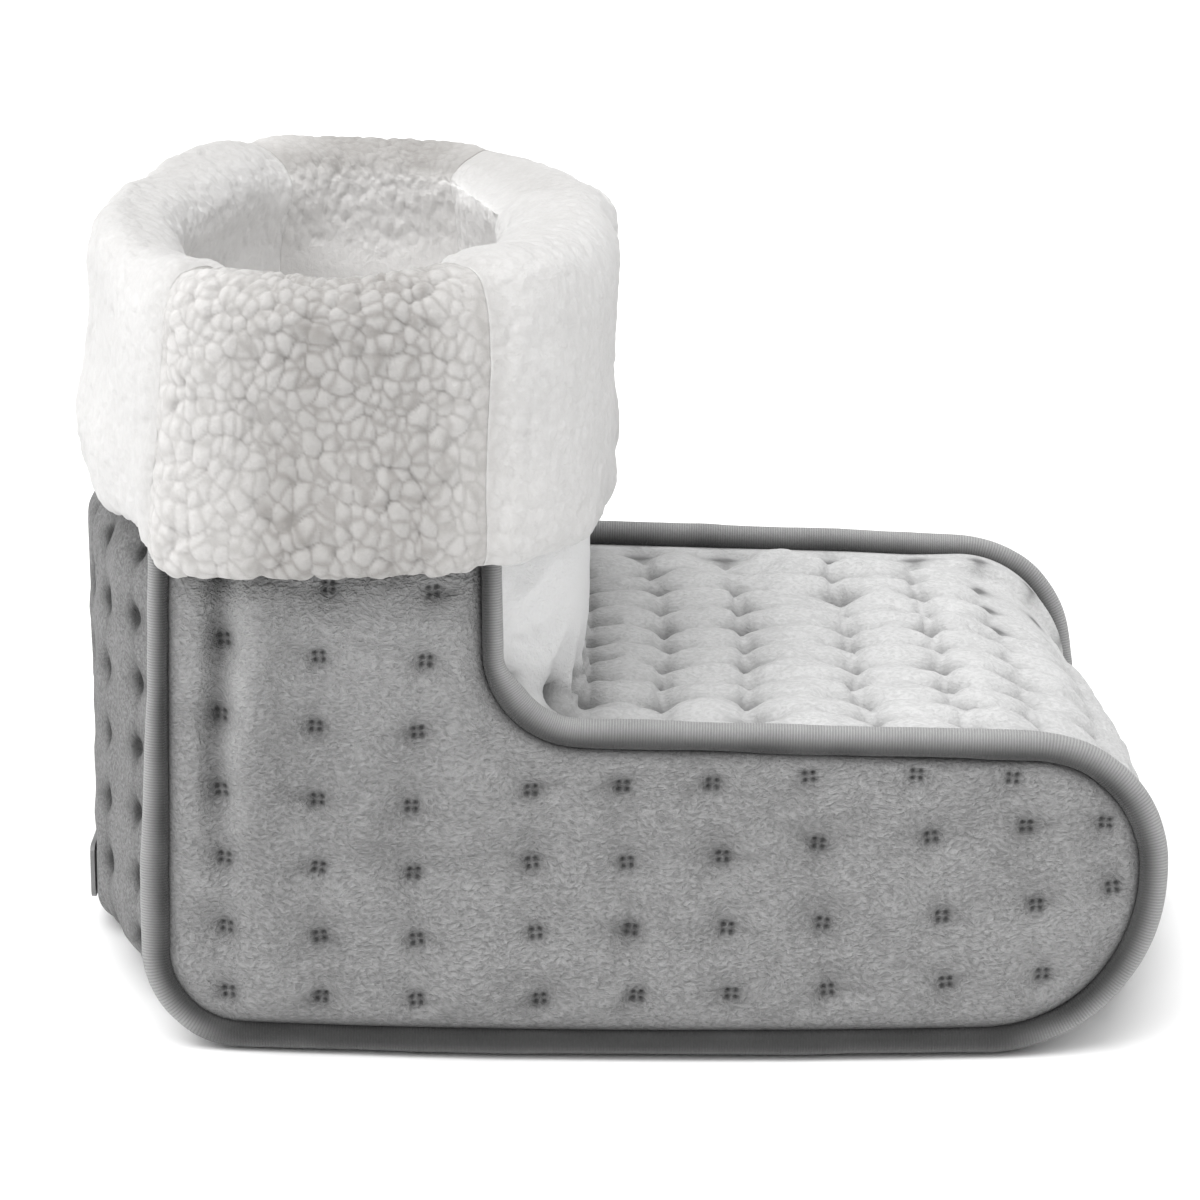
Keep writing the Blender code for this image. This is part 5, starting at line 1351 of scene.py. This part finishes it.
side_panel("right_plush_panel", -1, 5, grain(0.0006), "right_side_cover")
side_panel("left_plush_panel", 1, 55, grain(0.0008), "left_side_cover")
quilted_strip(
    "upper_plush_strip", SOLE_LINE_END + 0.01, float(TRACK_END), upper_columns(), 31,
    grain(0.0013), PLUSH_SMOOTH_LIT, ("upper_cover", "upper_wadding"),
    (0.0046, 0.0030, TUFT_ROW_PITCH, 5, 1.0), sunk=0.0018,
)
quilted_strip(
    "heel_plush_strip", 0.0, HEEL_ARC_END - 0.01, heel_columns(), 61,
    grain(0.0009), PLUSH_HEEL, ("heel_cover", "heel_wadding"),
    (0.0021, 0.0004, 0.0310, 3, 0.30), sunk=0.0008, calm=heel_calm,
)
binding("right_edge_binding", -1, 7)
binding("left_edge_binding", 1, 8)
build_cuff()
build_linings()
side_lining("right", -1)
side_lining("left", 1)
footbed()
sole()

CARRIED = {
    "wadding": weave_material("wadding_felt", grey(0.36), grey(0.28), 0.0021, 0.95),
    "sole_foam": moulded_material("open_cell_foam", grey(0.52, 0.02), 0.95, 0.0, 1500.0),
    "heater_": weave_material("carrier_fleece", grey(0.78, 0.02), grey(0.66, 0.02), 0.0014, 0.95),
    "heating_wire": moulded_material("silicone_wire", (0.50, 0.09, 0.06), 0.45),
    "splice": moulded_material("shrink_sleeve", grey(0.68, 0.06), 0.4),
    "thermal_cutout": moulded_material("nickel_can", grey(0.62, 0.03), 0.35, 1.0),
    "temperature_sensor": moulded_material("sensor_film", (0.66, 0.52, 0.22), 0.35),
    "lead": moulded_material("lead_jacket", grey(0.25), 0.5),
    "inlet": moulded_material("inlet_plastic", grey(0.24), 0.5, 0.0, 2600.0),
    "contact_pin": moulded_material("plated_pin", (0.83, 0.66, 0.33), 0.25, 1.0),
}
for name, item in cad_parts.items():
    for word, look in CARRIED.items():
        if word in name:
            item.data.materials.clear()
            item.data.materials.append(look)


# Camera, floor and light

LENS_MM = 131.07
CAMERA_PLACE = (-0.0065, -1.3806, 0.4788)
CAMERA_PITCH = 15.03

camera = bpy.data.cameras.new("camera")
camera.sensor_width = 36.0
camera.lens = LENS_MM
camera.dof.use_dof = False
camera.clip_start = 0.05
camera.clip_end = 40.0
viewer = bpy.data.objects.new("camera", camera)
viewer.location = CAMERA_PLACE
viewer.rotation_euler = (math.radians(90 - CAMERA_PITCH), 0.0, 0.0)
bpy.context.scene.collection.objects.link(viewer)
bpy.context.scene.camera = viewer


FLOOR_REACH = 60.0


def pale_floor():
    """Flat floor that reaches past the horizon of any low view."""
    corners = [(x * FLOOR_REACH, y * FLOOR_REACH, 0.0) for x, y in ((-1, -1), (1, -1), (1, 1), (-1, 1))]
    item = mesh_object("floor", corners, [(0, 1, 2, 3)], smooth=False)
    made, tree, shader = material("pale_floor")
    tone = ramp_node(tree, noise_node(tree, place_node(tree), 3.0), 0.3, grey(0.95), 0.7, grey(0.97))
    set_sockets(tree, shader, Base_Color=tone, Roughness=0.9, Specular_IOR_Level=0.1)
    item.data.materials.append(made)
    item.location.z = -0.0001


def broad_light(name, toward, spread_angle, strength):
    """Even light over the whole floor, as from a large soft box far above."""
    lamp = bpy.data.lights.new(name, "SUN")
    lamp.angle = math.radians(spread_angle)
    lamp.energy = strength
    item = bpy.data.objects.new(name, lamp)
    item.rotation_euler = Vector(toward).to_track_quat("-Z", "Y").to_euler()
    bpy.context.scene.collection.objects.link(item)


pale_floor()
broad_light("key", (0.15, 0.12, -1.0), 60.0, 2.5)
broad_light("left_fill", (1.0, 0.28, -0.66), 85.0, 1.4)
broad_light("right_fill", (-1.0, 0.22, -0.66), 75.0, 0.95)
broad_light("front_fill", (0.30, 0.80, -0.75), 50.0, 0.8)

world = bpy.data.worlds.new("studio")
world.use_nodes = True
backdrop = world.node_tree.nodes["Background"]
backdrop.inputs["Color"].default_value = (1.0, 1.0, 1.0, 1.0)
backdrop.inputs["Strength"].default_value = 0.24
bpy.context.scene.world = world
bpy.context.scene.view_settings.view_transform = "Standard"
